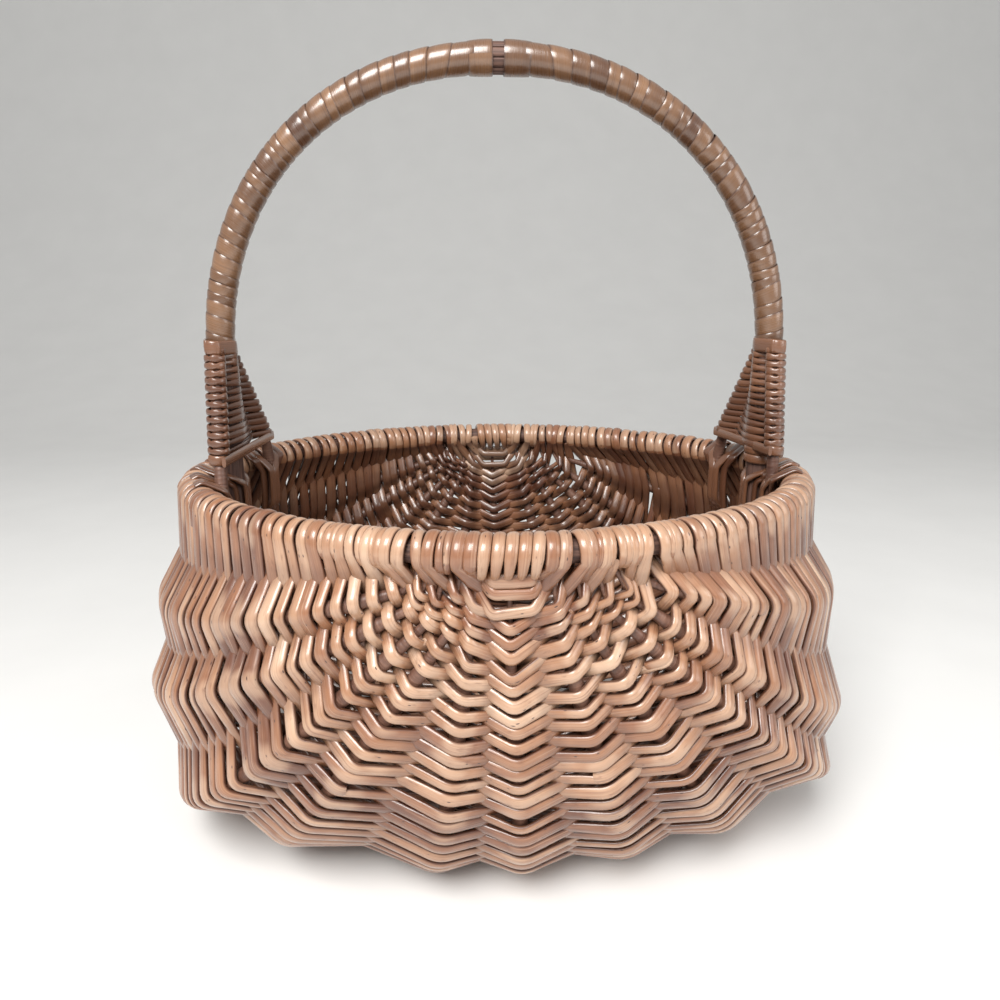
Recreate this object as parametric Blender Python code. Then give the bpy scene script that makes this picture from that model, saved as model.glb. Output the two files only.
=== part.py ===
"""Ribbed willow basket with a wrapped bow handle, in metres, +Z up, standing on z = 0.

X runs along the basket's width, Y from its front to its back. Eleven ribs run from the
front of the rim under the belly to the back of the rim. The weave crosses them from one
side of the rim to the other: each woven band is a flat run of rods that passes outside
one rib and inside the next, and laps over the rim at both ends. The bow handle stands
inside the rim at the middle of each side, between two stakes that are bound to it.
"""

import bisect
import math

import bmesh
import bpy
from mathutils import Vector

# Rim, measured at the middle of its hoop
RIM_HALF_WIDTH = 0.180
RIM_HALF_DEPTH = 0.148
RIM_POWER = 1.85
RIM_HEIGHT = 0.2095
HOOP_RADIUS = 0.0055

# Belly, measured at the middle of its ribs
BELLY_SWELL = 0.0286
BELLY_BELOW_RIM = 0.148
BELLY_POWER = 3.5

# Ribs, with the place of each as a share of the way from the bottom to its side's rim
RIB_RADIUS = 0.0040
RIB_REACH_POWER = 1.0
CENTRE_RIB_POWER = 0.33
SIDE_RIB_POWER = 1.23
SIDE_RIB_SHARE = 0.95
RIB_SHARES = {
    -5: -0.826,
    -4: -0.689,
    -3: -0.500,
    -2: -0.343,
    -1: -0.099,
    0: 0.025,
    1: 0.182,
    2: 0.347,
    3: 0.539,
    4: 0.638,
    5: 0.840,
}

# Ears, the close weave at the middle of the rim's front and back that holds the rib ends
EAR_HALF_WIDTH_LEFT = 0.053
EAR_HALF_WIDTH_RIGHT = 0.072
EAR_DEPTH = 0.042
EAR_FIRST_TURN = math.radians(19)
EAR_RIB_TURN = math.radians(11)
EAR_RIB_START = 0.076
EAR_RIB_START_STEP = 0.005
EAR_SHARE = 0.130
EAR_GAP = 0.0004

# Weave
BAND_COUNT = 22
ROD_THICKNESS = 0.0036
BAND_GAP = 0.0033
RIB_CLEARANCE = 0.0005
RIM_CLEARANCE = 0.0003
FOOT_HALF_WIDTH = 0.0030
FOOT_CUT = 0.0004
LAP_STEPS = 6
HEIGHT_ROUNDS = 12
LAP_START = math.radians(-42)
LAP_END = math.radians(226)

# Bow handle
BOW_RADIUS = 0.0070
BOW_TOP = 0.2323
BOW_SPRING = 0.068
BOW_POWER = 2.15
LEG_LENGTH = 0.045
LEG_CLEARANCE = 0.0003

# Skein wound round the bow
SKEIN_THICKNESS = 0.0020
SKEIN_LOOPS = 17
SKEIN_LOOP_POINTS = 10
SKEIN_LOOP_GAP = 0.0008
SKEIN_CLEARANCE = 0.0005
TOP_GAP = 0.007

# Side stakes and the binding of each foot
STAKE_RADIUS = 0.0035
NEAR_STAKE_LEFT = 0.045
NEAR_STAKE_RIGHT = 0.024
FAR_STAKE = 0.052
STAKE_DEPTH = 0.030
STAKE_BEND = 0.012
BINDING_RADIUS = 0.0023
BINDING_LOOPS = 7
BINDING_LOOP_POINTS = 24
BINDING_PITCH = 0.0076
BINDING_START = 0.0200
BINDING_CLEARANCE = 0.0004

# Sampling of the smooth paths
PATH_STEPS = 260
BOW_ARCH_POINTS = 40

FULL_TURN = 2.0 * math.pi
UP = Vector((0.0, 0.0, 1.0))

FINISHES = {
    "willow": ((0.60, 0.40, 0.24), 0.38),
    "rib": ((0.30, 0.19, 0.14), 0.50),
    "handle": ((0.44, 0.28, 0.16), 0.32),
    "core": ((0.33, 0.21, 0.13), 0.55),
}


class Path:
    """A fine polyline that is read by the share of its length."""

    def __init__(self, points):
        self.points = points
        self.reach = [0.0]
        for start, end in zip(points, points[1:]):
            self.reach.append(self.reach[-1] + (end - start).length)
        self.length = self.reach[-1]

    def at(self, share):
        """The point at a share of the length, 0 at the start and 1 at the end."""
        wanted = min(max(share, 0.0), 1.0) * self.length
        last = len(self.points) - 2
        index = min(max(bisect.bisect_right(self.reach, wanted) - 1, 0), last)
        step = self.reach[index + 1] - self.reach[index]
        part = (wanted - self.reach[index]) / step
        return self.points[index].lerp(self.points[index + 1], part)

    def direction(self, share):
        """The unit direction of travel at a share of the length."""
        nudge = 0.002
        return (self.at(share + nudge) - self.at(share - nudge)).normalized()


def eased_turn(index, turn):
    """Angle number index of PATH_STEPS over a turn, close together at both ends."""
    return turn * 0.5 * (1.0 - math.cos(math.pi * index / PATH_STEPS))


def signed_power(value, power):
    """A value raised to a power with its sign kept."""
    return math.copysign(abs(value) ** power, value)


def rim_depth_at(x):
    """How far the middle of the hoop lies from the basket's centre line in Y at an X."""
    inside = 1.0 - abs(x / RIM_HALF_WIDTH) ** RIM_POWER
    return RIM_HALF_DEPTH * max(inside, 0.0) ** (1.0 / RIM_POWER)


def half_rim(side):
    """One side of the rim from front to back; side is -1 on the left and 1 on the right."""
    points = []
    for index in range(PATH_STEPS + 1):
        angle = eased_turn(index, math.pi)
        x = side * RIM_HALF_WIDTH * max(math.sin(angle), 0.0) ** (2.0 / RIM_POWER)
        y = -RIM_HALF_DEPTH * signed_power(math.cos(angle), 2.0 / RIM_POWER)
        points.append(Vector((x, y, RIM_HEIGHT)))
    return Path(points)


def rib_depth():
    """Depth of the lowest ribs below the rim, which stands the outer rods on the ground."""
    return RIM_HEIGHT - RIB_RADIUS - RIB_CLEARANCE - ROD_THICKNESS + FOOT_CUT


def belly_section():
    """Half of the middle section, from the bottom's centre up to the rim's widest point."""
    low_height = rib_depth() - BELLY_BELOW_RIM
    half_width = RIM_HALF_WIDTH + BELLY_SWELL
    points = []
    for index in range(PATH_STEPS + 1):
        angle = eased_turn(index, 0.5 * math.pi)
        x = half_width * max(math.sin(angle), 0.0) ** (2.0 / BELLY_POWER)
        z = -BELLY_BELOW_RIM - low_height * max(math.cos(angle), 0.0) ** (2.0 / BELLY_POWER)
        points.append(Vector((x, 0.0, RIM_HEIGHT + z)))
    last = math.acos(RIM_HALF_WIDTH / half_width)
    upper_height = BELLY_BELOW_RIM / math.sin(last)
    for index in range(1, PATH_STEPS + 1):
        angle = last * index / PATH_STEPS
        x = half_width * math.cos(angle)
        z = -BELLY_BELOW_RIM + upper_height * math.sin(angle)
        points.append(Vector((x, 0.0, RIM_HEIGHT + z)))
    return Path(points)


def rib_run(share):
    """Power of a rib's run in Y by its share of the way from the centre to the rim."""
    part = min(share / SIDE_RIB_SHARE, 1.0)
    blend = part * part * (3.0 - 2.0 * part)
    return CENTRE_RIB_POWER + (SIDE_RIB_POWER - CENTRE_RIB_POWER) * blend


def rib_path(number, section):
    """The middle of a rib from the front of the rim to the back.

    number counts from 0 at the centre rib, below 0 on the left.
    """
    side = math.copysign(1.0, RIB_SHARES[number])
    share = abs(RIB_SHARES[number])
    middle = section.at(share)
    turn = EAR_FIRST_TURN + EAR_RIB_TURN * (abs(number) - 1) if number else 0.0
    half_width = -EAR_HALF_WIDTH_LEFT if number < 0 else EAR_HALF_WIDTH_RIGHT
    start_x = half_width * math.sin(turn)
    start_y = rim_depth_at(start_x)
    start_z = RIM_HEIGHT - EAR_DEPTH * math.cos(turn)
    run = rib_run(share)
    points = []
    for index in range(PATH_STEPS + 1):
        angle = eased_turn(index, math.pi)
        reach = max(math.sin(angle), 0.0) ** RIB_REACH_POWER
        x = start_x + (side * middle.x - start_x) * reach
        y = -start_y * signed_power(math.cos(angle), run)
        z = start_z + (middle.z - start_z) * reach
        points.append(Vector((x, y, z)))
    return Path(points)


class Wall:
    """The rim's two sides and the ribs between them, read by station.

    A station is a share of the way from front to back. Column 0 is the left side of the
    rim, the last column is the right side, and the ribs lie between them in order.
    """

    def __init__(self):
        section = belly_section()
        self.numbers = sorted(RIB_SHARES)
        self.paths = [half_rim(-1.0)]
        self.starts = [0.0]
        for number in self.numbers:
            self.paths.append(rib_path(number, section))
            self.starts.append(EAR_RIB_START + EAR_RIB_START_STEP * abs(number))
        self.paths.append(half_rim(1.0))
        self.starts.append(0.0)

    def rim_station(self, y):
        """The station at which the rim lies at a Y."""
        low = 0.0
        high = 1.0
        for _ in range(40):
            middle = 0.5 * (low + high)
            if self.paths[0].at(middle).y < y:
                low = middle
            else:
                high = middle
        return low

    def share(self, column, station):
        """A station as a share of the column's own length."""
        start = self.starts[column]
        return (station - start) / (1.0 - 2.0 * start)

    def point(self, column, station):
        """The middle of a column's rod at a station."""
        return self.paths[column].at(self.share(column, station))

    def tangent(self, column, station):
        """The direction of a column's rod at a station, from front to back."""
        return self.paths[column].direction(self.share(column, station))

    def normal(self, column, station):
        """The outward direction of the wall at a rib."""
        across = self.point(column + 1, station) - self.point(column - 1, station)
        return self.tangent(column, station).cross(across).normalized()

    def outward(self, column, station):
        """The level direction out of the basket at the rim."""
        side = -1.0 if column == 0 else 1.0
        tangent = self.tangent(column, station)
        return (side * tangent.cross(UP)).normalized()


def stations():
    """The stations of the edges of the woven bands, from front to back."""
    step = (1.0 - 2.0 * EAR_SHARE) / BAND_COUNT
    return [EAR_SHARE + step * index for index in range(BAND_COUNT + 1)]


def make_material(name):
    """A plain painted-on finish from the table at the top."""
    colour, roughness = FINISHES[name]
    material = bpy.data.materials.new(name)
    material.use_nodes = True
    shader = material.node_tree.nodes["Principled BSDF"]
    shader.inputs["Base Color"].default_value = (*colour, 1.0)
    shader.inputs["Roughness"].default_value = roughness
    shader.inputs["Metallic"].default_value = 0.0
    return material


def make_rod(name, points, radius, material, collection, closed=False, resolution=2):
    """A round rod through points, as a curve with a bevel."""
    curve = bpy.data.curves.new(name, "CURVE")
    curve.dimensions = "3D"
    curve.bevel_depth = radius
    curve.bevel_resolution = resolution
    curve.use_fill_caps = not closed
    curve.twist_mode = "MINIMUM"
    spline = curve.splines.new("POLY")
    spline.points.add(len(points) - 1)
    for spot, place in zip(spline.points, points):
        spot.co = (*place, 1.0)
    spline.use_cyclic_u = closed
    curve.materials.append(material)
    rod = bpy.data.objects.new(name, curve)
    collection.objects.link(rod)
    return rod


def turn_outward(body):
    """Turns the faces of a closed body outward."""
    bmesh.ops.recalc_face_normals(body, faces=body.faces)
    if body.calc_volume(signed=True) < 0.0:
        bmesh.ops.reverse_faces(body, faces=body.faces)


def make_strip(name, sections, material, collection):
    """A closed strip through sections of four corners each."""
    mesh = bpy.data.meshes.new(name)
    body = bmesh.new()
    rings = []
    for section in sections:
        rings.append([body.verts.new(corner) for corner in section])
    for ring, following in zip(rings, rings[1:]):
        for index in range(4):
            after = (index + 1) % 4
            body.faces.new((ring[index], ring[after], following[after], following[index]))
    body.faces.new(rings[0])
    body.faces.new(rings[-1])
    turn_outward(body)
    body.to_mesh(mesh)
    body.free()
    mesh.materials.append(material)
    strip = bpy.data.objects.new(name, mesh)
    collection.objects.link(strip)
    return strip


def make_sheet(name, outer, inner, material, collection):
    """A closed sheet between an outer and an inner grid of points."""
    mesh = bpy.data.meshes.new(name)
    body = bmesh.new()
    outside = [[body.verts.new(point) for point in row] for row in outer]
    inside = [[body.verts.new(point) for point in row] for row in inner]
    rows = len(outer)
    columns = len(outer[0])
    for grid in (outside, inside):
        for row in range(rows - 1):
            for column in range(columns - 1):
                corners = (
                    grid[row][column],
                    grid[row + 1][column],
                    grid[row + 1][column + 1],
                    grid[row][column + 1],
                )
                body.faces.new(corners)
    border = [(0, column) for column in range(columns - 1)]
    border += [(row, columns - 1) for row in range(rows - 1)]
    border += [(rows - 1, column) for column in range(columns - 1, 0, -1)]
    border += [(row, 0) for row in range(rows - 1, 0, -1)]
    for place, following in zip(border, border[1:] + border[:1]):
        corners = (
            outside[place[0]][place[1]],
            outside[following[0]][following[1]],
            inside[following[0]][following[1]],
            inside[place[0]][place[1]],
        )
        body.faces.new(corners)
    turn_outward(body)
    body.to_mesh(mesh)
    body.free()
    mesh.materials.append(material)
    sheet = bpy.data.objects.new(name, mesh)
    collection.objects.link(sheet)
    return sheet


def lap_radii():
    """Inner and outer corner radius of the rods that lap over the hoop."""
    step = (LAP_END - LAP_START) / LAP_STEPS
    inner = (HOOP_RADIUS + RIM_CLEARANCE) / math.cos(0.5 * step)
    return inner, inner + ROD_THICKNESS


def lap_points(place, outward, angle):
    """The corner near the hoop and the one away from it at an angle of the lap."""
    inner, outer = lap_radii()
    spoke = math.cos(angle) * outward + math.sin(angle) * UP
    return place + inner * spoke, place + outer * spoke


def lap_angles():
    """Angles of the lap over the rim from outside to inside, 0 level and outward."""
    step = (LAP_END - LAP_START) / LAP_STEPS
    return [LAP_START + step * index for index in range(LAP_STEPS + 1)]


def lap_mouth(wall, column, edge, side):
    """The corner away from the hoop where a band on one side of the wall leaves its lap."""
    angle = LAP_START if side > 0 else LAP_END
    return lap_points(wall.point(column, edge), wall.outward(column, edge), angle)[1]


def rib_heights(wall, edges, side):
    """Height of a band over each rib's middle that keeps its sloping rods clear of the rib."""
    last = len(wall.paths) - 1
    clear = RIB_RADIUS + RIB_CLEARANCE
    heights = [clear] * (last + 1)
    for _ in range(HEIGHT_ROUNDS):
        settled = list(heights)
        for column in range(1, last):
            rib_side = side * (-1) ** column
            height = clear
            for edge in edges:
                place = wall.point(column, edge)
                normal = rib_side * wall.normal(column, edge)
                for beside in (column - 1, column + 1):
                    if beside in (0, last):
                        goal = lap_mouth(wall, beside, edge, -rib_side)
                    else:
                        lift = heights[beside] + ROD_THICKNESS
                        goal = wall.point(beside, edge) - rib_side * lift * wall.normal(beside, edge)
                    rise = normal.dot(goal - place)
                    run = (goal - place - rise * normal).length
                    drop = max(heights[column] - rise, 0.0)
                    height = max(height, clear * math.sqrt(1.0 + (drop / run) ** 2))
            settled[column] = height
        heights = settled
    return heights


def on_ground(point):
    """A point lifted to the ground where it would lie below it."""
    return Vector((point.x, point.y, max(point.z, 0.0)))


def band_corners(wall, column, edges, side, height, along):
    """Corners of a band over a rib, moved along the weave by a distance."""
    near = height
    far = height + ROD_THICKNESS
    outer_height, inner_height = (far, near) if side > 0 else (-near, -far)
    centre = 0.5 * (edges[0] + edges[1])
    corners = []
    for edge in edges:
        towards = centre - edge
        place = wall.point(column, edge)
        other = wall.point(column, edge + 2.0 * towards)
        place = place + (other - place).normalized() * 0.5 * BAND_GAP
        normal = wall.normal(column, edge)
        across = normal.cross(wall.tangent(column, edge)).normalized()
        shift = place + along * across
        outer = on_ground(shift + outer_height * normal)
        corners.append((outer, shift + inner_height * normal))
    (outer_low, inner_low), (outer_high, inner_high) = corners
    return outer_low, outer_high, inner_high, inner_low


def lap_sections(wall, column, edges, side):
    """Sections of a band over the rim, from the wall to the band's end."""
    angles = lap_angles()
    if side < 0:
        angles.reverse()
    centre = 0.5 * (edges[0] + edges[1])
    sections = []
    for angle in angles:
        pairs = []
        for edge in edges:
            place = wall.point(column, edge)
            other = wall.point(column, edge + 2.0 * (centre - edge))
            place = place + (other - place).normalized() * 0.5 * BAND_GAP
            pairs.append(lap_points(place, wall.outward(column, edge), angle))
        (near_low, far_low), (near_high, far_high) = pairs
        if side > 0:
            sections.append((far_low, far_high, near_high, near_low))
        else:
            sections.append((near_low, near_high, far_high, far_low))
    return sections


def make_band(wall, index, edges, material, collection):
    """One woven band from the left side of the rim under the belly to the right side."""
    side = 1 if index % 2 == 0 else -1
    last = len(wall.paths) - 1
    heights = rib_heights(wall, edges, side)
    sections = list(reversed(lap_sections(wall, 0, edges, side)))
    for column in range(1, last):
        rib_side = side * (-1) ** column
        height = heights[column]
        peak = band_corners(wall, column, edges, rib_side, height, 0.0)
        rests = rib_side > 0 and min(peak[0].z, peak[1].z) <= 0.0
        if rests:
            sections.append(band_corners(wall, column, edges, 1, height, -FOOT_HALF_WIDTH))
            sections.append(band_corners(wall, column, edges, 1, height, FOOT_HALF_WIDTH))
        else:
            sections.append(peak)
    sections += lap_sections(wall, last, edges, side)
    return make_strip(f"woven_band_{index + 1:02d}", sections, material, collection)


def ear_stations(start):
    """Stations of the ear's rows along a rib, from the rib's start to the ear's edge."""
    return [start, 0.5 * (start + EAR_SHARE), EAR_SHARE]


def ear_rim_stations():
    """Stations at which the ear's folds cross the rim, beside the middle one."""
    highest = max(RIB_SHARES)
    return [EAR_SHARE * number / highest for number in range(1, highest + 1)]


def make_ear(wall, name, back, material, collection):
    """The close weave under the middle of the rim, folded over it, with the ribs inside."""
    narrowing = EAR_GAP / wall.paths[0].length
    folds = [0.0] + ear_rim_stations()
    folds[-1] -= narrowing
    last = len(wall.paths) - 1
    near = RIB_RADIUS + RIB_CLEARANCE
    far = near + ROD_THICKNESS
    outer_grid = []
    inner_grid = []
    for column, number in enumerate(wall.numbers, start=1):
        rim_column = 0 if number <= 0 else last
        rim_station = folds[abs(number)]
        rows = ear_stations(wall.starts[column])
        rows[-1] -= narrowing
        stations_down = list(reversed(rows))
        if back:
            rim_station = 1.0 - rim_station
            stations_down = [1.0 - station for station in stations_down]
        outside = []
        inside = []
        for station in stations_down:
            place = wall.point(column, station)
            normal = wall.normal(column, station)
            outside.append((place + far * normal, place + near * normal))
            inside.append((place - far * normal, place - near * normal))
        rim_place = wall.point(rim_column, rim_station)
        outward = wall.outward(rim_column, rim_station)
        if number == 0:
            outward = Vector((0.0, 1.0 if back else -1.0, 0.0))
        fold = []
        for angle in lap_angles():
            low, high = lap_points(rim_place, outward, angle)
            fold.append((high, low))
        run = outside + fold + list(reversed(inside))
        outer_grid.append([pair[0] for pair in run])
        inner_grid.append([pair[1] for pair in run])
    return make_sheet(name, outer_grid, inner_grid, material, collection)


def make_ribs(wall, material, collection):
    """The eleven ribs, with a corner wherever a band or an ear has its edge."""
    ribs = []
    for column, number in enumerate(wall.numbers, start=1):
        front = ear_stations(wall.starts[column])[:-1]
        back = [1.0 - station for station in reversed(front)]
        places = [wall.point(column, station) for station in front + stations() + back]
        side = "left" if number < 0 else "right"
        name = f"rib_{side}_{abs(number)}" if number else "rib_centre"
        ribs.append(make_rod(name, places, RIB_RADIUS, material, collection))
    return ribs


def make_hoop(wall, material, collection):
    """The hoop of the rim, with a corner wherever a band or an ear has its edge."""
    last = len(wall.paths) - 1
    folds = ear_rim_stations()[:-1]
    run = folds + stations() + [1.0 - fold for fold in reversed(folds)]
    left = [wall.point(0, station) for station in run]
    right = [wall.point(last, station) for station in reversed(run)]
    front = [wall.point(0, 0.0)]
    back = [wall.point(0, 1.0)]
    return make_rod("rim_hoop", front + left + back + right, HOOP_RADIUS, material, collection, closed=True)


def leg_place():
    """How far the middle of a handle leg stands from the basket's centre in X."""
    lap = lap_radii()[1]
    return RIM_HALF_WIDTH - lap - LEG_CLEARANCE - BOW_RADIUS


def bow_arch():
    """The middle of the bow from one spring line over the top to the other."""
    half_width = leg_place()
    rise = BOW_TOP - BOW_SPRING
    points = []
    for index in range(PATH_STEPS + 1):
        angle = eased_turn(index, math.pi)
        x = -half_width * signed_power(math.cos(angle), 2.0 / BOW_POWER)
        z = BOW_SPRING + rise * max(math.sin(angle), 0.0) ** (2.0 / BOW_POWER)
        points.append(Vector((x, 0.0, RIM_HEIGHT + z)))
    return Path(points)


def make_bow(material, collection):
    """The bow handle with its straight legs, which go down inside the rim."""
    arch = bow_arch()
    steps = BOW_ARCH_POINTS - 1
    curved = [arch.at(index / steps) for index in range(BOW_ARCH_POINTS)]
    foot = RIM_HEIGHT - LEG_LENGTH
    half_width = leg_place()
    left = Vector((-half_width, 0.0, foot))
    right = Vector((half_width, 0.0, foot))
    return make_rod("handle_bow", [left] + curved + [right], BOW_RADIUS, material, collection)


def skein_radii():
    """Inner and outer corner radius of the skein wound round the bow."""
    inner = (BOW_RADIUS + SKEIN_CLEARANCE) / math.cos(math.pi / SKEIN_LOOP_POINTS)
    return inner, inner + SKEIN_THICKNESS


def binding_top():
    """Height above the rim at which a foot's binding ends."""
    return BINDING_START + BINDING_LOOPS * BINDING_PITCH + 2.0 * BINDING_RADIUS


def skein_sections(side):
    """Sections of the skein on one side of the bow, from the foot up to the top."""
    arch = bow_arch()
    half_width = leg_place()
    straight = BOW_SPRING - binding_top()
    curved = 0.5 * arch.length - 0.5 * TOP_GAP
    pitch = (straight + curved) / (SKEIN_LOOPS + 1)
    width = pitch - SKEIN_LOOP_GAP
    inner, outer = skein_radii()
    count = SKEIN_LOOPS * SKEIN_LOOP_POINTS
    sections = []
    for index in range(count + 1):
        turn = index / SKEIN_LOOP_POINTS
        corners = []
        for edge in (0.5 * SKEIN_LOOP_GAP, width):
            distance = turn * pitch + edge
            if distance < straight:
                place = Vector((side * half_width, 0.0, RIM_HEIGHT + binding_top() + distance))
                along = UP.copy()
            else:
                share = (distance - straight) / arch.length
                place = arch.at(share)
                along = arch.direction(share)
                place.x *= -side
                along.x *= -side
            spin = Vector((0.0, -1.0, 0.0))
            level = along.cross(spin)
            angle = FULL_TURN * turn
            spoke = math.cos(angle) * spin + math.sin(angle) * level
            corners.append((place + outer * spoke, place + inner * spoke))
        (outer_low, inner_low), (outer_high, inner_high) = corners
        sections.append((outer_low, outer_high, inner_high, inner_low))
    return sections


def least_gap(runs, radius, skip):
    """Least distance between points of one run at least skip points apart, less two radii."""
    least = math.inf
    for first in range(0, len(runs)):
        for second in range(first + skip, len(runs)):
            least = min(least, (runs[first] - runs[second]).length)
    return least - 2.0 * radius


def make_skein(side, material, collection):
    """The flat skein wound round one half of the bow, as one unbroken strip."""
    sections = skein_sections(side)
    upper = [section[2] for section in sections]
    lower = [section[3] for section in sections]
    gap = min(
        (upper[index] - lower[index + SKEIN_LOOP_POINTS]).length
        for index in range(len(sections) - SKEIN_LOOP_POINTS)
    )
    name = "handle_skein_left" if side < 0 else "handle_skein_right"
    print(f"{name}: least gap between turns {gap * 1000.0:.2f} mm")
    return make_strip(name, sections, material, collection)


def stake_points(wall, side, y):
    """The middle of a stake: down inside the rim, and leaning to the leg above it."""
    column = 0 if side < 0 else len(wall.paths) - 1
    station = wall.rim_station(y)
    inset = lap_radii()[1] + LEG_CLEARANCE + STAKE_RADIUS
    base = wall.point(column, station) - inset * wall.outward(column, station)
    beside = math.copysign(BOW_RADIUS + LEG_CLEARANCE + STAKE_RADIUS, y)
    top = binding_top() - BINDING_RADIUS
    return [
        base - STAKE_DEPTH * UP,
        base + STAKE_BEND * UP,
        Vector((side * leg_place(), beside, RIM_HEIGHT + top)),
    ]


def foot_stakes(side):
    """Names and places of the two stakes of one foot."""
    word = "left" if side < 0 else "right"
    near = NEAR_STAKE_LEFT if side < 0 else NEAR_STAKE_RIGHT
    return {f"near_stake_{word}": -near, f"far_stake_{word}": FAR_STAKE}


def binding_points(wall, side):
    """The middle of the rod bound round the leg and its two stakes.

    Each point is the corner between two lines that rest on the three posts, one step
    of the turn apart, so the rod never cuts across a post.
    """
    stakes = [stake_points(wall, side, y) for y in foot_stakes(side).values()]
    step = FULL_TURN / BINDING_LOOP_POINTS
    cover = BINDING_CLEARANCE + BINDING_RADIUS
    points = []
    for index in range(BINDING_LOOPS * BINDING_LOOP_POINTS + 1):
        height = BINDING_START + BINDING_PITCH * index / BINDING_LOOP_POINTS
        posts = [(Vector((side * leg_place(), 0.0)), BOW_RADIUS + cover)]
        for _, bend, top in stakes:
            share = (RIM_HEIGHT + height - bend.z) / (top.z - bend.z)
            middle = bend.lerp(top, min(max(share, 0.0), 1.0))
            lean = (top - bend).length / (top.z - bend.z)
            posts.append((middle.to_2d(), lean * (STAKE_RADIUS + cover)))
        headings = [
            Vector((math.sin(angle), math.cos(angle)))
            for angle in (step * index, step * (index + 1))
        ]
        first, second = (
            max(post.dot(heading) + reach for post, reach in posts) for heading in headings
        )
        corner = (first - second * math.cos(step)) * headings[0]
        corner += (second - first * math.cos(step)) * headings[1]
        corner /= math.sin(step) ** 2
        points.append(Vector((corner.x, corner.y, RIM_HEIGHT + height)))
    return points


def make_foot(wall, side, rod_material, stake_material, collection):
    """The two stakes beside one leg of the bow and the rod bound round all three."""
    for name, y in foot_stakes(side).items():
        make_rod(name, stake_points(wall, side, y), STAKE_RADIUS, stake_material, collection)
    points = binding_points(wall, side)
    gap = least_gap(points, BINDING_RADIUS, BINDING_LOOP_POINTS - 1)
    name = "foot_binding_left" if side < 0 else "foot_binding_right"
    print(f"{name}: least gap between turns {gap * 1000.0:.2f} mm")
    make_rod(name, points, BINDING_RADIUS, rod_material, collection, resolution=1)


def main():
    """Builds the basket."""
    for item in list(bpy.data.objects):
        bpy.data.objects.remove(item, do_unlink=True)
    collection = bpy.data.collections.new("buttocks_basket")
    bpy.context.scene.collection.children.link(collection)
    materials = {name: make_material(name) for name in FINISHES}
    wall = Wall()
    make_hoop(wall, materials["core"], collection)
    make_ribs(wall, materials["rib"], collection)
    make_ear(wall, "ear_front", False, materials["willow"], collection)
    make_ear(wall, "ear_back", True, materials["willow"], collection)
    edges = stations()
    for index, pair in enumerate(zip(edges, edges[1:])):
        make_band(wall, index, pair, materials["willow"], collection)
    make_bow(materials["core"], collection)
    for side in (-1.0, 1.0):
        make_skein(side, materials["handle"], collection)
        make_foot(wall, side, materials["handle"], materials["rib"], collection)


main()
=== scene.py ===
"""Looks of a ribbed willow basket: its rods, bark ribs, wrapped handle and soft studio.

Everything is in metres, +Z up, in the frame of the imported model, which stands on z = 0.
X runs along the width, Y from the front to the back. The ribs run from the front of the
rim under the belly to its back. One long weaver after another passes outside one rib and
inside the next, laps over the rim, and comes back one row further on.
"""

import logging
import math
from collections.abc import Iterable
from dataclasses import dataclass, field
from enum import Enum

import bpy
import numpy as np
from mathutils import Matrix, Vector


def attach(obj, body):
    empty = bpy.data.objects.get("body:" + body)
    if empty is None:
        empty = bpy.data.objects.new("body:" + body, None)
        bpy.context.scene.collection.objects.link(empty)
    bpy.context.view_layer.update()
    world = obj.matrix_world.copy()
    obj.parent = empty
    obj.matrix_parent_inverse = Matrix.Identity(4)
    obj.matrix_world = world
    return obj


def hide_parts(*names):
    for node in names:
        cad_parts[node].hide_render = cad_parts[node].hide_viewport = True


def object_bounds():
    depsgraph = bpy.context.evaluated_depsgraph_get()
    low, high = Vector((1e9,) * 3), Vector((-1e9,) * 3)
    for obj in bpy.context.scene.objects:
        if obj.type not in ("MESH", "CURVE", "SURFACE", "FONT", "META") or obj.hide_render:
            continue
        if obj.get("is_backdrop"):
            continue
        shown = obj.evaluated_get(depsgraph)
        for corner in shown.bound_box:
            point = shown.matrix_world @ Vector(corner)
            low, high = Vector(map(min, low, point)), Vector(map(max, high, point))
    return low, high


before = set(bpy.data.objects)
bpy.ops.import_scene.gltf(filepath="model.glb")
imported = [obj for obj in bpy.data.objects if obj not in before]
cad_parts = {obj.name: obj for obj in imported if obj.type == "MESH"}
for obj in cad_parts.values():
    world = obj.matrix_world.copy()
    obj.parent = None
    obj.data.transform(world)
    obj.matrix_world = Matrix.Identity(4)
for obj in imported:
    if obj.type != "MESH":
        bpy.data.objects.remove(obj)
CAD_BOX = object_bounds()

LOG = logging.getLogger("basket")
BODY = "root"
UP = np.array([0.0, 0.0, 1.0])
FULL_TURN = 2.0 * math.pi

Pair = tuple[float, float]
Triple = tuple[float, float, float]
Socket = bpy.types.NodeSocket


class Slot(Enum):
    """The record's material slots."""

    WILLOW = "willow"
    RIB = "rib"
    HANDLE = "handle"
    CORE = "core"


class Face(Enum):
    """The side of the wall on which a weaver passes a rib or the rim."""

    OUTSIDE = 1
    INSIDE = -1


def unit(vectors: np.ndarray) -> np.ndarray:
    """Vectors of length one along the last axis."""
    return vectors / np.maximum(np.linalg.norm(vectors, axis=-1, keepdims=True), 1e-12)


def smooth(part: np.ndarray | float) -> np.ndarray | float:
    """An eased step from 0 to 1 of a part that is cut to that range."""
    part = np.clip(part, 0.0, 1.0)
    return part * part * (3.0 - 2.0 * part)


def signed_power(value: np.ndarray, power: float) -> np.ndarray:
    """Values raised to a power with their signs kept."""
    return np.sign(value) * np.abs(value) ** power


def with_ends(values: np.ndarray) -> np.ndarray:
    """Rows with the first and the last of them repeated."""
    return np.concatenate([values[:1], values, values[-1:]])


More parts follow.
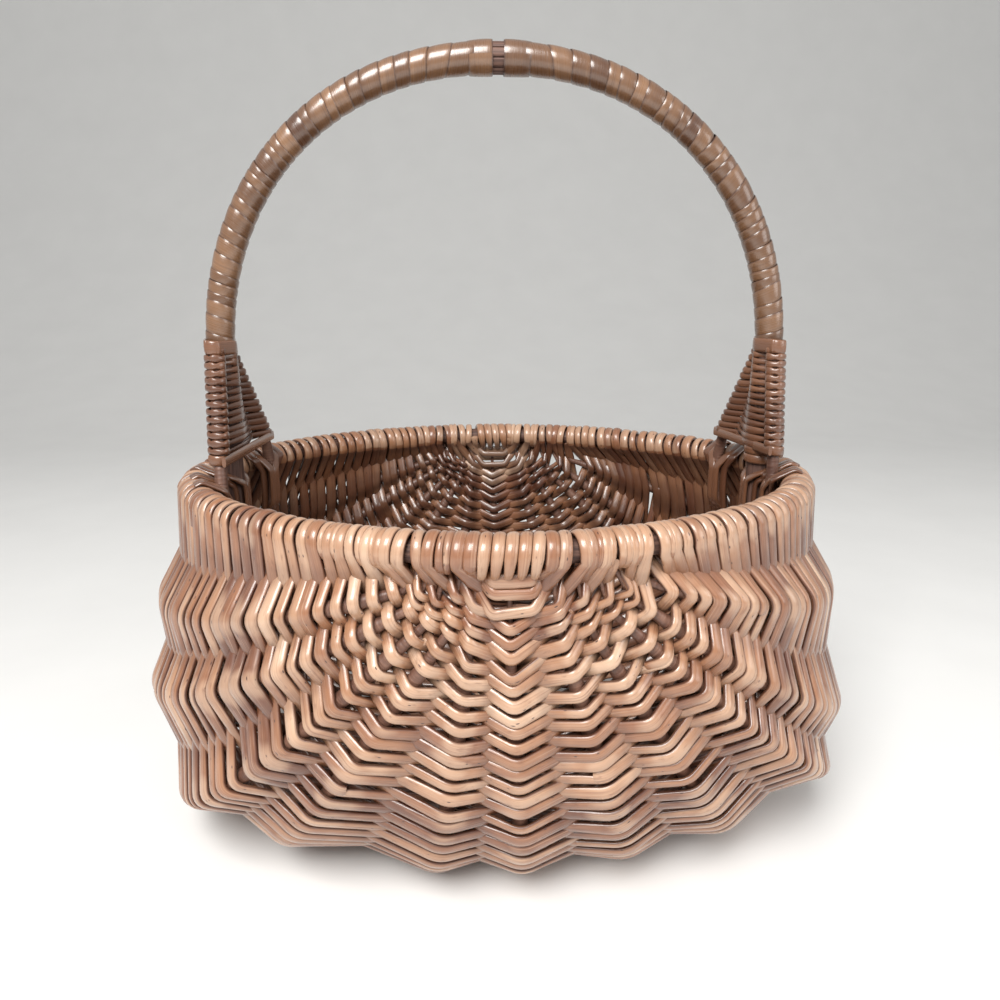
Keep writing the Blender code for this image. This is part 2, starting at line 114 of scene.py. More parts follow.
def eased_angles(turn: float, steps: int) -> np.ndarray:
    """Angles over a turn that lie close together at both ends."""
    return turn * 0.5 * (1.0 - np.cos(np.linspace(0.0, math.pi, steps + 1)))


def lengths_along(points: np.ndarray) -> np.ndarray:
    """The length of a line up to each of its points."""
    steps = np.linalg.norm(np.diff(points, axis=0), axis=1)
    return np.concatenate(([0.0], np.cumsum(steps)))


def inside_of(station: float) -> float:
    """How far a station lies from the nearer end of the basket, front or back."""
    return min(station, 1.0 - station)


def link_object(name: str, data: bpy.types.ID) -> bpy.types.Object:
    """Puts a new object with its data into the scene."""
    made = bpy.data.objects.new(name, data)
    bpy.context.scene.collection.objects.link(made)
    return made


@dataclass
class Track:
    """A fine polyline that is read by the share of its length."""

    points: np.ndarray
    reach: np.ndarray = field(init=False)

    def __post_init__(self) -> None:
        """Measures the length up to each point."""
        self.reach = lengths_along(self.points)

    @property
    def length(self) -> float:
        """The whole length."""
        return float(self.reach[-1])

    def at(self, share: np.ndarray | float) -> np.ndarray:
        """The points at shares of the length.

        Args:
            share: One share or an array of them, 0 at the start and 1 at the end.

        Returns:
            One point, or an array with a point in each row.
        """
        wanted = np.clip(share, 0.0, 1.0) * self.length
        axes = [np.interp(wanted, self.reach, self.points[:, axis]) for axis in range(3)]
        return np.stack(axes, axis=-1)


@dataclass(frozen=True)
class BasketSizes:
    """Driving sizes of the rim, the belly, the ribs and the ears."""

    rim_half_width: float = 0.180
    rim_half_depth: float = 0.148
    rim_power: float = 1.85
    rim_height: float = 0.2095
    hoop_radius: float = 0.0055
    belly_swell: float = 0.0286
    belly_below_rim: float = 0.148
    belly_power: float = 3.5
    rib_radius: float = 0.0040
    rib_clearance: float = 0.0005
    rod_thickness: float = 0.0036
    foot_cut: float = 0.0004
    centre_rib_power: float = 0.33
    side_rib_power: float = 1.23
    side_rib_share: float = 0.95
    rib_shares_left: tuple[float, ...] = (0.826, 0.689, 0.500, 0.343, 0.099)
    rib_share_centre: float = 0.025
    rib_shares_right: tuple[float, ...] = (0.182, 0.347, 0.539, 0.638, 0.840)
    ear_half_width_left: float = 0.053
    ear_half_width_right: float = 0.072
    ear_depth: float = 0.042
    ear_first_turn: float = math.radians(19)
    ear_rib_turn: float = math.radians(11)
    ear_rib_start: float = 0.076
    ear_rib_start_step: float = 0.005
    ear_share: float = 0.130
    band_count: int = 22
    lap_outer: float = 0.00987
    leg_clearance: float = 0.0003
    bow_radius: float = 0.0070

    @property
    def shares(self) -> tuple[float, ...]:
        """Places of the ribs from left to right as shares of the middle section."""
        left = tuple(-share for share in self.rib_shares_left)
        return left + (self.rib_share_centre,) + self.rib_shares_right

    @property
    def leg_place(self) -> float:
        """How far the middle of a handle leg stands from the basket's centre in X."""
        return self.rim_half_width - self.lap_outer - self.leg_clearance - self.bow_radius

    @property
    def rib_numbers(self) -> tuple[int, ...]:
        """Numbers of the ribs from left to right, 0 at the centre rib."""
        left = len(self.rib_shares_left)
        return tuple(range(-left, len(self.rib_shares_right) + 1))


@dataclass
class Wall:
    """The rim's two sides and the ribs between them, read by column and station.

    A station is a share of the way from front to back. Column 0 is the left side of the
    rim and the last column is its right side. Short of a rib's start a column runs on up
    to the hoop, a little nearer to the middle of the ear.
    """

    sizes: BasketSizes
    hub_share: float = 0.75
    hub_drop: float = 0.003
    thin_share: float = 0.50
    point_share: float = 0.22
    thin_over: float = 0.050
    steps: int = 400
    grid_steps: int = 2000
    tracks: list[Track] = field(init=False)
    starts: list[float] = field(init=False)
    places: np.ndarray = field(init=False)
    runs: np.ndarray = field(init=False)
    normals: np.ndarray = field(init=False)

    def __post_init__(self) -> None:
        """Lays the tracks and fills the grids that are read by column and station."""
        self.tracks = [self.half_rim(-1.0)]
        self.starts = [0.0]
        section = self.belly_section()
        for number, share in zip(self.sizes.rib_numbers, self.sizes.shares):
            self.tracks.append(self.rib_track(number, share, section))
            start = self.sizes.ear_rib_start + self.sizes.ear_rib_start_step * abs(number)
            self.starts.append(start)
        self.tracks.append(self.half_rim(1.0))
        self.starts.append(0.0)
        self.fill_grids()

    @property
    def last(self) -> int:
        """Number of the last column, which is the right side of the rim."""
        return len(self.tracks) - 1

    @property
    def centre(self) -> int:
        """Number of the centre rib's column."""
        return self.last // 2

    def rim_depth_at(self, x: float) -> float:
        """How far the hoop lies from the middle in Y at an X."""
        sizes = self.sizes
        inside = 1.0 - abs(x / sizes.rim_half_width) ** sizes.rim_power
        return sizes.rim_half_depth * max(inside, 0.0) ** (1.0 / sizes.rim_power)

    def half_rim(self, side: float) -> Track:
        """One side of the rim from front to back; side is -1 on the left."""
        sizes = self.sizes
        angles = eased_angles(math.pi, self.steps)
        power = 2.0 / sizes.rim_power
        x = side * sizes.rim_half_width * np.maximum(np.sin(angles), 0.0) ** power
        y = -sizes.rim_half_depth * signed_power(np.cos(angles), power)
        return Track(np.stack([x, y, np.full_like(x, sizes.rim_height)], axis=1))

    def belly_section(self) -> Track:
        """Half of the middle section, from the bottom's centre up to the rim."""
        sizes = self.sizes
        depth = sizes.rim_height - sizes.rib_radius - sizes.rib_clearance
        depth += sizes.foot_cut - sizes.rod_thickness
        half_width = sizes.rim_half_width + sizes.belly_swell
        power = 2.0 / sizes.belly_power
        low = eased_angles(0.5 * math.pi, self.steps)
        low_x = half_width * np.maximum(np.sin(low), 0.0) ** power
        low_z = (depth - sizes.belly_below_rim) * np.maximum(np.cos(low), 0.0) ** power
        last = math.acos(sizes.rim_half_width / half_width)
        high = np.linspace(0.0, last, self.steps + 1)[1:]
        high_x = half_width * np.cos(high)
        high_z = sizes.belly_below_rim / math.sin(last) * np.sin(high)
        x = np.concatenate([low_x, high_x])
        z = np.concatenate([-low_z, high_z]) + sizes.rim_height - sizes.belly_below_rim
        return Track(np.stack([x, np.zeros_like(x), z], axis=1))

    def rib_track(self, number: int, place: float, section: Track) -> Track:
        """The middle of a rib from the front of the rim to the back.

        Args:
            number: The rib's number, 0 at the centre and below 0 on the left.
            place: Its share of the way from the bottom to the rim, below 0 on the left.
            section: The belly's middle section.

        Returns:
            The rib's track.
        """
        sizes = self.sizes
        side = math.copysign(1.0, place)
        middle = section.at(abs(place))
        turn = sizes.ear_first_turn + sizes.ear_rib_turn * (abs(number) - 1) if number else 0.0
        wide = -sizes.ear_half_width_left if number < 0 else sizes.ear_half_width_right
        start_x = wide * math.sin(turn)
        start_y = self.rim_depth_at(start_x)
        start_z = sizes.rim_height - sizes.ear_depth * math.cos(turn)
        blend = smooth(abs(place) / sizes.side_rib_share)
        run = sizes.centre_rib_power + (sizes.side_rib_power - sizes.centre_rib_power) * blend
        angles = eased_angles(math.pi, self.steps)
        reach = np.maximum(np.sin(angles), 0.0)
        x = start_x + (side * middle[0] - start_x) * reach
        y = -start_y * signed_power(np.cos(angles), run)
        z = start_z + (middle[2] - start_z) * reach
        return Track(np.stack([x, y, z], axis=1))

    def column_places(self, column: int, stations: np.ndarray) -> np.ndarray:
        """Points of a column at stations, run on to the hoop past the rib's ends."""
        start = self.starts[column]
        track = self.tracks[column]
        places = track.at((stations - start) / (1.0 - 2.0 * start))
        if start == 0.0:
            return places
        hub_x = self.hub_share * float(track.at(0.0)[0])
        depth = self.rim_depth_at(hub_x)
        for end, hub_y, first in ((stations, -depth, 0.0), (1.0 - stations, depth, 1.0)):
            hub = np.array([hub_x, hub_y, self.sizes.rim_height - self.hub_drop])
            short = end < start
            part = np.maximum(end[short] / start, 0.0)[:, None]
            places[short] = hub + (track.at(first) - hub) * part
        return places

    def fill_grids(self) -> None:
        """Reads every column at even stations, with its run per station and its normal."""
        stations = np.linspace(0.0, 1.0, self.grid_steps + 1)
        columns = range(self.last + 1)
        self.places = np.stack([self.column_places(c, stations) for c in columns])
        self.runs = np.gradient(self.places, stations, axis=1)
        self.normals = np.zeros_like(self.places)
        for column in range(1, self.last):
            across = self.places[column + 1] - self.places[column - 1]
            self.normals[column] = unit(np.cross(self.runs[column], across))
        for column, side in ((0, -1.0), (self.last, 1.0)):
            self.normals[column] = unit(side * np.cross(self.runs[column], UP))

    def read(self, grid: np.ndarray, column: float, station: float) -> np.ndarray:
        """A grid's value at a column, which may lie between two ribs, and a station."""
        place = min(max(station, 0.0), 1.0) * self.grid_steps
        low = min(int(place), self.grid_steps - 1)
        part = place - low
        left = min(int(column), self.last - 1)
        beside = column - left
        value = np.zeros(3)
        for near, weight in ((left, 1.0 - beside), (left + 1, beside)):
            if weight > 0.0:
                value += weight * ((1.0 - part) * grid[near, low] + part * grid[near, low + 1])
        return value

    def place(self, column: float, station: float) -> np.ndarray:
        """The middle of a column's rod at a station."""
        return self.read(self.places, column, station)

    def run(self, column: float, station: float) -> np.ndarray:
        """The column's run for one whole station, from front to back."""
        return self.read(self.runs, column, station)

    def normal(self, column: float, station: float) -> np.ndarray:
        """The outward direction at a rib, or level out of the basket at the rim."""
        return unit(self.read(self.normals, column, station))

    def spoke(self, column: float, station: float, angle: float) -> np.ndarray:
        """The direction at an angle round the rim, from level outward over its top."""
        return math.cos(angle) * self.normal(column, station) + math.sin(angle) * UP

    def rib_radius(self, column: float, station: float) -> float:
        """A rib's radius, which shrinks to a pointed end inside the ear."""
        start = self.starts[int(round(column))]
        inside = (inside_of(station) - start) / self.thin_over
        size = self.thin_share + (1.0 - self.thin_share) * float(smooth(inside))
        return self.sizes.rib_radius * (size - self.point_share * float(smooth(-inside)))


@dataclass
class Strand:
    """Rings of a rod with a flat oval section: middles, axes, half sizes and marks.

    wide is the section's wide axis. mark holds, for each ring, how far it is pinched
    between its neighbours, its side of the wall from -1 to 1, and 1 where it laps a rim.
    """

    middles: np.ndarray
    wide: np.ndarray
    half_wide: np.ndarray
    half_high: np.ndarray
    mark: np.ndarray

    @classmethod
    def plain(
        cls,
        middles: np.ndarray,
        wide: np.ndarray | tuple,
        half_wide: np.ndarray | float,
        half_high: np.ndarray | float,
    ) -> "Strand":
        """A rod without marks.

        Args:
            middles: The middles of its rings.
            wide: The wide axis, one for all rings or one for each.
            half_wide: Half its width, in the same way.
            half_high: Half its thickness, in the same way.

        Returns:
            The rod.
        """
        count = len(middles)
        return cls(
            middles,
            np.array(np.broadcast_to(wide, (count, 3))),
            np.full(count, half_wide),
            np.full(count, half_high),
            np.zeros((count, 3)),
        )

    def __len__(self) -> int:
        """The number of rings."""
        return len(self.middles)

    def columns(self) -> tuple[np.ndarray, ...]:
        """The five arrays in the order of the fields."""
        return self.middles, self.wide, self.half_wide, self.half_high, self.mark

    def part(self, first: int, last: int) -> "Strand":
        """The rings from first up to, but not with, last."""
        return Strand(*(values[first:last].copy() for values in self.columns()))

    def turned(self) -> "Strand":
        """The same rings in the other order."""
        return Strand(*(values[::-1] for values in self.columns()))

    @staticmethod
    def joined(strands: list["Strand"]) -> "Strand":
        """Strands that follow each other as one."""
        columns = zip(*(strand.columns() for strand in strands))
        return Strand(*(np.concatenate(values) for values in columns))


@dataclass
class Piece:
    """Collects rods and strips as one mesh with the marks that its finish reads."""

    name: str
    sides: int = 12
    squareness: float = 2.0
    end_scale: float = 0.86
    end_reach: float = 0.35
    wood_apart: float = 7.0
    crease: float = math.radians(62)
    points: list[np.ndarray] = field(default_factory=list)
    faces: list[np.ndarray] = field(default_factory=list)
    caps: list[list[int]] = field(default_factory=list)
    grain: list[np.ndarray] = field(default_factory=list)
    tone: list[np.ndarray] = field(default_factory=list)
    count: int = 0

    def add_rings(self, rings: np.ndarray, grain: np.ndarray, tone: np.ndarray) -> None:
        """Adds a closed tube through rings of corners.

        Args:
            rings: Corners, by ring, by side and by axis.
            grain: A place in the wood for each corner, in the same layout.
            tone: Four marks for each corner.
        """
        length, sides = rings.shape[:2]
        index = self.count + np.arange(length * sides).reshape(length, sides)
        after = np.roll(index, -1, axis=1)
        quads = np.stack([index[:-1], after[:-1], after[1:], index[1:]], axis=-1)
        self.points.append(rings.reshape(-1, 3))
        self.faces.append(quads.reshape(-1, 4))
        self.caps.append(list(map(int, index[0][::-1])))
        self.caps.append(list(map(int, index[-1])))
        self.grain.append(grain.reshape(-1, 3))
        self.tone.append(tone.reshape(-1, 4))
        self.count += length * sides

    def add_strand(self, strand: Strand, chance: float, other: float) -> None:
        """Adds one rod, with an eased edge round each of its cut ends.

        Args:
            strand: The rod's rings.
            chance: A number from 0 to 1 that sets the rod's own colour.
            other: A second number, which sets where its marks lie.
        """
        reach = lengths_along(strand.middles)
        along = unit(np.gradient(strand.middles, axis=0))
        wide = unit(strand.wide - along * np.sum(along * strand.wide, axis=1)[:, None])
        high = np.cross(along, wide)
        middles = strand.middles
        first_reach = self.end_reach * strand.half_high[0]
        last_reach = self.end_reach * strand.half_high[-1]
        first = middles[0] - first_reach * along[0]
        last = middles[-1] + last_reach * along[-1]
        middles = np.vstack([first, middles, last])
        wide, high, mark = with_ends(wide), with_ends(high), with_ends(strand.mark)
        half_wide, half_high = with_ends(strand.half_wide), with_ends(strand.half_high)
        half_wide[[0, -1]] *= self.end_scale
        half_high[[0, -1]] *= self.end_scale
        reach = np.concatenate([[-first_reach], reach, [reach[-1] + last_reach]])
        angles = np.linspace(0.0, FULL_TURN, self.sides, endpoint=False)
        power = 2.0 / self.squareness
        across = signed_power(np.cos(angles), power)[None, :] * half_wide[:, None]
        above = signed_power(np.sin(angles), power)[None, :] * half_high[:, None]
        rings = middles[:, None] + across[..., None] * wide[:, None]
        rings = rings + above[..., None] * high[:, None]
        grain = np.empty((len(middles), self.sides, 3))
        grain[..., 0] = reach[:, None] + self.wood_apart * other
        grain[..., 1] = across + chance
        grain[..., 2] = above + other
        # The pinch, the side and the section's edge in these marks set where the willow finish
        # paints its highlight and its shade; the fourth mark is 1 at the sides of the section.
        tone = np.empty((len(middles), self.sides, 4))
        tone[..., 0] = chance
        tone[..., 1] = mark[:, None, 0]
        tone[..., 2] = 0.5 + 0.5 * mark[:, None, 1]
        tone[..., 3] = np.abs(np.cos(angles))[None, :]
        self.add_rings(rings, grain, tone)

    def build(self, material: bpy.types.Material) -> bpy.types.Object:
        """Makes the object in the scene.

        Args:
            material: The finish of all its faces.

        Returns:
            The new object, shaded smooth.
        """
        mesh = bpy.data.meshes.new(self.name)
        points = np.concatenate(self.points)
        faces = np.concatenate(self.faces).tolist() + self.caps
        mesh.from_pydata(points.tolist(), [], faces)
        grain = mesh.attributes.new("grain", "FLOAT_VECTOR", "POINT")
        grain.data.foreach_set("vector", np.concatenate(self.grain).astype(np.float32).ravel())
        tone = mesh.attributes.new("tone", "FLOAT_COLOR", "POINT")
        tone.data.foreach_set("color", np.concatenate(self.tone).astype(np.float32).ravel())
        mesh.shade_smooth()
        mesh.set_sharp_from_angle(angle=self.crease)
        mesh.materials.append(material)
        mesh.update()
        return link_object(self.name, mesh)


def place_piece(piece: bpy.types.Object, slot: Slot, node: str) -> None:
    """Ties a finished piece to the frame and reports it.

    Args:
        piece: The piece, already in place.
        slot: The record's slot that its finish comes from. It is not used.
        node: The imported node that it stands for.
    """
    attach(piece, BODY)
    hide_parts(node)
    LOG.info("%s: %d faces, stands for %s", piece.name, len(piece.data.polygons), node)


@dataclass(frozen=True)
class StainOrPaintedLight:
    """A stain, or a painted highlight or painted shade, whose colour is laid over another as a
    value passes from one number to a second.
    """

    colour: Triple
    begins: float
    full: float
    most: float


class NodeGraph:
    """A short way to write a material's nodes."""

    def __init__(self, name: str) -> None:
        """Starts a material with a Principled shader.

        Args:
            name: The material's name.
        """
        self.material = bpy.data.materials.new(name)
        self.material.use_nodes = True
        self.tree = self.material.node_tree
        self.shader = self.tree.nodes["Principled BSDF"]

    def node(self, kind: str, **settings: object) -> bpy.types.Node:
        """A new node with its settings."""
        made = self.tree.nodes.new(kind)
        for name, value in settings.items():
            setattr(made, name, value)
        return made

    def feed(self, target: Socket, value: Socket | float | tuple) -> None:
        """Joins a value's socket to another, or sets a plain value on it."""
        if isinstance(value, bpy.types.NodeSocket):
            self.tree.links.new(value, target)
        else:
            target.default_value = value

    def grain(self) -> Socket:
        """The place in the wood, from the mesh."""
        return self.node("ShaderNodeAttribute", attribute_name="grain").outputs["Vector"]

    def tones(self) -> tuple[Socket, Socket, Socket, Socket]:
        """The four marks on the mesh: the rod's chance, the pinch, the side and the edge."""
        tone = self.node("ShaderNodeAttribute", attribute_name="tone")
        split = self.node("ShaderNodeSeparateColor")
        self.feed(split.inputs["Color"], tone.outputs["Color"])
        red, green, blue = (split.outputs[name] for name in ("Red", "Green", "Blue"))
        return red, green, blue, tone.outputs["Alpha"]

    def stretched(self, vector: Socket, scale: Triple) -> Socket:
        """A vector multiplied by a scale in each axis."""
        made = self.node("ShaderNodeVectorMath", operation="MULTIPLY")
        self.feed(made.inputs[0], vector)
        self.feed(made.inputs[1], scale)
        return made.outputs[0]

    def noise(self, vector: Socket, scale: Triple, detail: float = 2.0) -> Socket:
        """Soft noise at a vector, with its cells per metre in each axis."""
        made = self.node("ShaderNodeTexNoise")
        self.feed(made.inputs["Vector"], self.stretched(vector, scale))
        self.feed(made.inputs["Scale"], 1.0)
        self.feed(made.inputs["Detail"], detail)
        return made.outputs["Fac"]

    def spots(self, vector: Socket, scale: Triple) -> Socket:
        """Distance to the nearest of scattered spots, with their number per metre."""
        made = self.node("ShaderNodeTexVoronoi", feature="F1")
        self.feed(made.inputs["Vector"], self.stretched(vector, scale))
        self.feed(made.inputs["Scale"], 1.0)
        return made.outputs["Distance"]

    def mapped(self, value: Socket, source: Pair, target: Pair = (0.0, 1.0)) -> Socket:
        """A value moved from one range to another and cut to it."""
        made = self.node("ShaderNodeMapRange", interpolation_type="SMOOTHSTEP")
        self.feed(made.inputs["Value"], value)
        for word, ends in (("From", source), ("To", target)):
            self.feed(made.inputs[f"{word} Min"], ends[0])
            self.feed(made.inputs[f"{word} Max"], ends[1])
        return made.outputs["Result"]

    def maths(self, operation: str, *values: Socket | float) -> Socket:
        """One sum of two or three values."""
        made = self.node("ShaderNodeMath", operation=operation)
        for target, value in zip(made.inputs, values):
            self.feed(target, value)
        return made.outputs[0]

    def swayed(self, value: Socket, noise: Socket, amount: float) -> Socket:
        """A value moved up and down by noise, by half the amount each way."""
        sway = self.maths("MULTIPLY_ADD", noise, amount, -0.5 * amount)
        return self.maths("ADD", sway, value)

    def ramp(self, value: Socket, stops: Iterable[tuple[float, Triple]]) -> Socket:
        """A colour read from a value, with stops of a place and a colour each."""
        made = self.node("ShaderNodeValToRGB")
        self.feed(made.inputs["Fac"], value)
        elements = made.color_ramp.elements
        stops = list(stops)
        while len(elements) < len(stops):
            elements.new(0.5)
        for element, (place, colour) in zip(elements, stops):
            element.position = place
            element.color = (*colour, 1.0)
        return made.outputs["Color"]

    def mixed(self, share: Socket | float, first: Socket, second: Socket | tuple) -> Socket:
        """Two colours mixed by a share."""
        made = self.node("ShaderNodeMix", data_type="RGBA")
        self.feed(made.inputs["Factor"], share)
        self.feed(made.inputs["A"], first)
        self.feed(made.inputs["B"], second)
        return made.outputs["Result"]

    def with_stain_or_painted_light(self, colour: Socket, value: Socket, stain: StainOrPaintedLight) -> Socket:
        """A colour with a stain, or with a painted highlight or painted shade, laid over it where a
        value calls for one.
        """
        share = self.mapped(value, (stain.begins, stain.full), (0.0, stain.most))
        return self.mixed(share, colour, (*stain.colour, 1.0))

    def surface(self, colour: Socket, roughness: Socket | float) -> None:
        """Sets the shader's colour and its roughness."""
        self.feed(self.shader.inputs["Base Color"], colour)
        self.feed(self.shader.inputs["Roughness"], roughness)

    def varnished(self, weight: float, roughness: float) -> None:
        """Lays a clear coat over the surface."""
        self.feed(self.shader.inputs["Coat Weight"], weight)
        self.feed(self.shader.inputs["Coat Roughness"], roughness)

    def bumped(self, heights: Socket, distance: float, strength: float) -> None:
        """Sets the shader's normal from heights."""
        made = self.node("ShaderNodeBump")
        self.feed(made.inputs["Distance"], distance)
        self.feed(made.inputs["Strength"], strength)
        self.feed(made.inputs["Height"], heights)
        self.feed(self.shader.inputs["Normal"], made.outputs["Normal"])


@dataclass(frozen=True)
class Finish:
    """A procedural material. Its grains are noise cells per metre along and across a rod."""

    name: str

    def make(self) -> bpy.types.Material:
        """Builds the material.

        Returns:
            The material.
        """
        graph = NodeGraph(self.name)
        self.paint(graph)
        return graph.material

    def paint(self, graph: NodeGraph) -> None:
        """Adds the finish's nodes to a graph."""
        raise NotImplementedError


@dataclass(frozen=True)
class WillowFinish(Finish):
    """Peeled willow under varnish: bleached to brown rods with streaks and knots, a painted
    highlight, and painted shade on edges, necks and inner faces.
    """

    name: str = "varnished_willow"
    shades: tuple[tuple[float, Triple], ...] = (
        (0.00, (0.56, 0.37, 0.250)),
        (0.22, (0.375, 0.200, 0.114)),
        (0.50, (0.306, 0.143, 0.073)),
        (0.75, (0.238, 0.100, 0.050)),
        (1.00, (0.140, 0.050, 0.024)),
    )
    drift_grain: Triple = (22.0, 60.0, 60.0)
    drift: float = 1.10
    warmth_grain: Triple = (6.0, 25.0, 25.0)
    warmth: StainOrPaintedLight = StainOrPaintedLight((0.335, 0.136, 0.054), 0.50, 0.72, 0.50)
    knee_drift: Pair = (-0.30, 0.10)
    knee_highlight: StainOrPaintedLight = StainOrPaintedLight((0.56, 0.37, 0.250), 0.80, 1.02, 0.55)
    streak_grain: Triple = (24.0, 1400.0, 1400.0)
    dark_streak: StainOrPaintedLight = StainOrPaintedLight((0.140, 0.050, 0.024), 0.52, 0.78, 0.55)
    pale_streak: StainOrPaintedLight = StainOrPaintedLight((0.56, 0.37, 0.250), 0.46, 0.22, 0.45)
    knot_grain: Triple = (110.0, 320.0, 320.0)
    knot_edge: Pair = (0.115, 0.06)
    knot: Triple = (0.060, 0.024, 0.016)
    knot_depth: float = -0.8
    mottle_grain: Triple = (150.0, 420.0, 420.0)
    blotch: StainOrPaintedLight = StainOrPaintedLight((0.140, 0.050, 0.024), 0.58, 0.80, 0.50)
    inner: StainOrPaintedLight = StainOrPaintedLight((0.050, 0.016, 0.009), 0.45, 0.05, 0.70)
    pinched: StainOrPaintedLight = StainOrPaintedLight((0.068, 0.020, 0.011), 0.25, 1.00, 0.30)
    dark_edge: StainOrPaintedLight = StainOrPaintedLight((0.068, 0.020, 0.011), 0.80, 1.00, 0.90)
    roughness: Pair = (0.28, 0.52)
    coat: float = 0.85
    coat_roughness: float = 0.21

    def paint(self, graph: NodeGraph) -> None:
        """Colours each rod and lays its stains, its painted highlight and its painted shade over
        one another.
        """
        grain = graph.grain()
        rod, pinch, side, edge = graph.tones()
        drift = graph.noise(grain, self.drift_grain)
        colour = graph.ramp(graph.swayed(rod, drift, self.drift), self.shades)
        colour = graph.with_stain_or_painted_light(colour, graph.noise(grain, self.warmth_grain), self.warmth)
        # Painted highlight: the outermost bends of each rod, and the tops of the laps, are
        # lightened towards the bleached colour.
        knee = graph.maths("ADD", side, graph.mapped(drift, (0.3, 0.7), self.knee_drift))
        colour = graph.with_stain_or_painted_light(colour, knee, self.knee_highlight)
        streak = graph.noise(grain, self.streak_grain, detail=3.0)
        colour = graph.with_stain_or_painted_light(colour, streak, self.dark_streak)
        colour = graph.with_stain_or_painted_light(colour, streak, self.pale_streak)
        knots = graph.mapped(graph.spots(grain, self.knot_grain), self.knot_edge)
        colour = graph.mixed(knots, colour, (*self.knot, 1.0))
        mottle = graph.noise(grain, self.mottle_grain, detail=3.0)
        colour = graph.with_stain_or_painted_light(colour, mottle, self.blotch)
        # Painted shade: rods darken where they pass inside the ribs, on the inner face of the wall.
        colour = graph.with_stain_or_painted_light(colour, side, self.inner)
        # Painted shade: rods darken at the necks where they dive between two ribs, and a little
        # where a lap runs under the rim.
        colour = graph.with_stain_or_painted_light(colour, pinch, self.pinched)
        # Painted shade, with some grime: each rod darkens along the side edges of its section,
        # where it meets its neighbours.
        colour = graph.with_stain_or_painted_light(colour, edge, self.dark_edge)
        graph.surface(colour, graph.mapped(mottle, (0.3, 0.75), self.roughness))
        graph.varnished(self.coat, self.coat_roughness)
        heights = graph.maths("ADD", streak, graph.maths("MULTIPLY", knots, self.knot_depth))
        graph.bumped(heights, distance=0.0005, strength=0.6)


@dataclass(frozen=True)
class BarkFinish(Finish):
    """Thin willow bark left on the ribs: plum brown, wrinkled across, a little glossy."""

    name: str = "bark"
    shades: tuple[tuple[float, Triple], ...] = (
        (0.30, (0.068, 0.029, 0.020)),
        (0.52, (0.150, 0.072, 0.048)),
        (0.75, (0.29, 0.155, 0.104)),
    )
    patch_grain: Triple = (40.0, 160.0, 160.0)
    wrinkle_grain: Triple = (950.0, 120.0, 120.0)
    wrinkle_share: float = 0.35
    roughness: Pair = (0.42, 0.62)
    coat: float = 0.2
    coat_roughness: float = 0.3

    def paint(self, graph: NodeGraph) -> None:
        """Mixes broad patches with fine wrinkles across the rod."""
        grain = graph.grain()
        patches = graph.noise(grain, self.patch_grain, detail=3.0)
        wrinkles = graph.noise(grain, self.wrinkle_grain)
        colour = graph.ramp(graph.mixed(self.wrinkle_share, patches, wrinkles), self.shades)
        graph.surface(colour, graph.mapped(patches, (0.3, 0.7), self.roughness))
        graph.varnished(self.coat, self.coat_roughness)
        graph.bumped(wrinkles, distance=0.0008, strength=0.6)


@dataclass(frozen=True)
class SkeinFinish(Finish):
    """Flat split willow on the handle: bronze brown under varnish, fibres along each turn."""

    name: str = "varnished_skein"
    pale: Triple = (0.225, 0.118, 0.060)
    bronze: Triple = (0.140, 0.068, 0.033)
    brown: Triple = (0.074, 0.030, 0.014)
    drift_grain: Triple = (22.0, 160.0, 160.0)
    drift: float = 0.7
    fibre_grain: Triple = (16.0, 1700.0, 1700.0)
    dark_edge: StainOrPaintedLight = StainOrPaintedLight((0.055, 0.022, 0.014), 0.84, 1.00, 0.90)
    roughness: Pair = (0.24, 0.42)
    coat: float = 1.0
    coat_roughness: float = 0.24

    def paint(self, graph: NodeGraph) -> None:
        """Shades each turn and draws its fibres and the dark seams at its edges."""
        grain = graph.grain()
        turn, across, _, _ = graph.tones()
        shade = graph.swayed(turn, graph.noise(grain, self.drift_grain), self.drift)
        colour = graph.ramp(shade, ((0.0, self.pale), (0.5, self.bronze), (1.0, self.brown)))
        fibres = graph.noise(grain, self.fibre_grain, detail=3.0)
        colour = graph.with_stain_or_painted_light(colour, fibres, StainOrPaintedLight(self.brown, 0.50, 0.75, 0.50))
        colour = graph.with_stain_or_painted_light(colour, across, self.dark_edge)
        graph.surface(colour, graph.mapped(fibres, (0.3, 0.7), self.roughness))
        graph.varnished(self.coat, self.coat_roughness)
        graph.bumped(fibres, distance=0.0004, strength=0.45)


@dataclass(frozen=True)
class BindingFinish(SkeinFinish):
    """The skein of the foot bindings, a little redder than the handle's."""

    name: str = "varnished_binding"
    pale: Triple = (0.225, 0.100, 0.050)
    bronze: Triple = (0.140, 0.058, 0.029)
    brown: Triple = (0.078, 0.027, 0.014)


@dataclass(frozen=True)
class CoreFinish(Finish):
    """Bare rod under the wrapping: dull brown wood with long fibres."""

    name: str = "bare_rod"
    dark: Triple = (0.055, 0.026, 0.020)
    light: Triple = (0.15, 0.078, 0.056)
    fibre_grain: Triple = (30.0, 900.0, 900.0)
    roughness: float = 0.6

    def paint(self, graph: NodeGraph) -> None:
        """Draws the fibres."""
        fibres = graph.noise(graph.grain(), self.fibre_grain, detail=3.0)
        graph.surface(graph.ramp(fibres, ((0.35, self.dark), (0.65, self.light))), self.roughness)
        graph.bumped(fibres, distance=0.0005, strength=0.5)


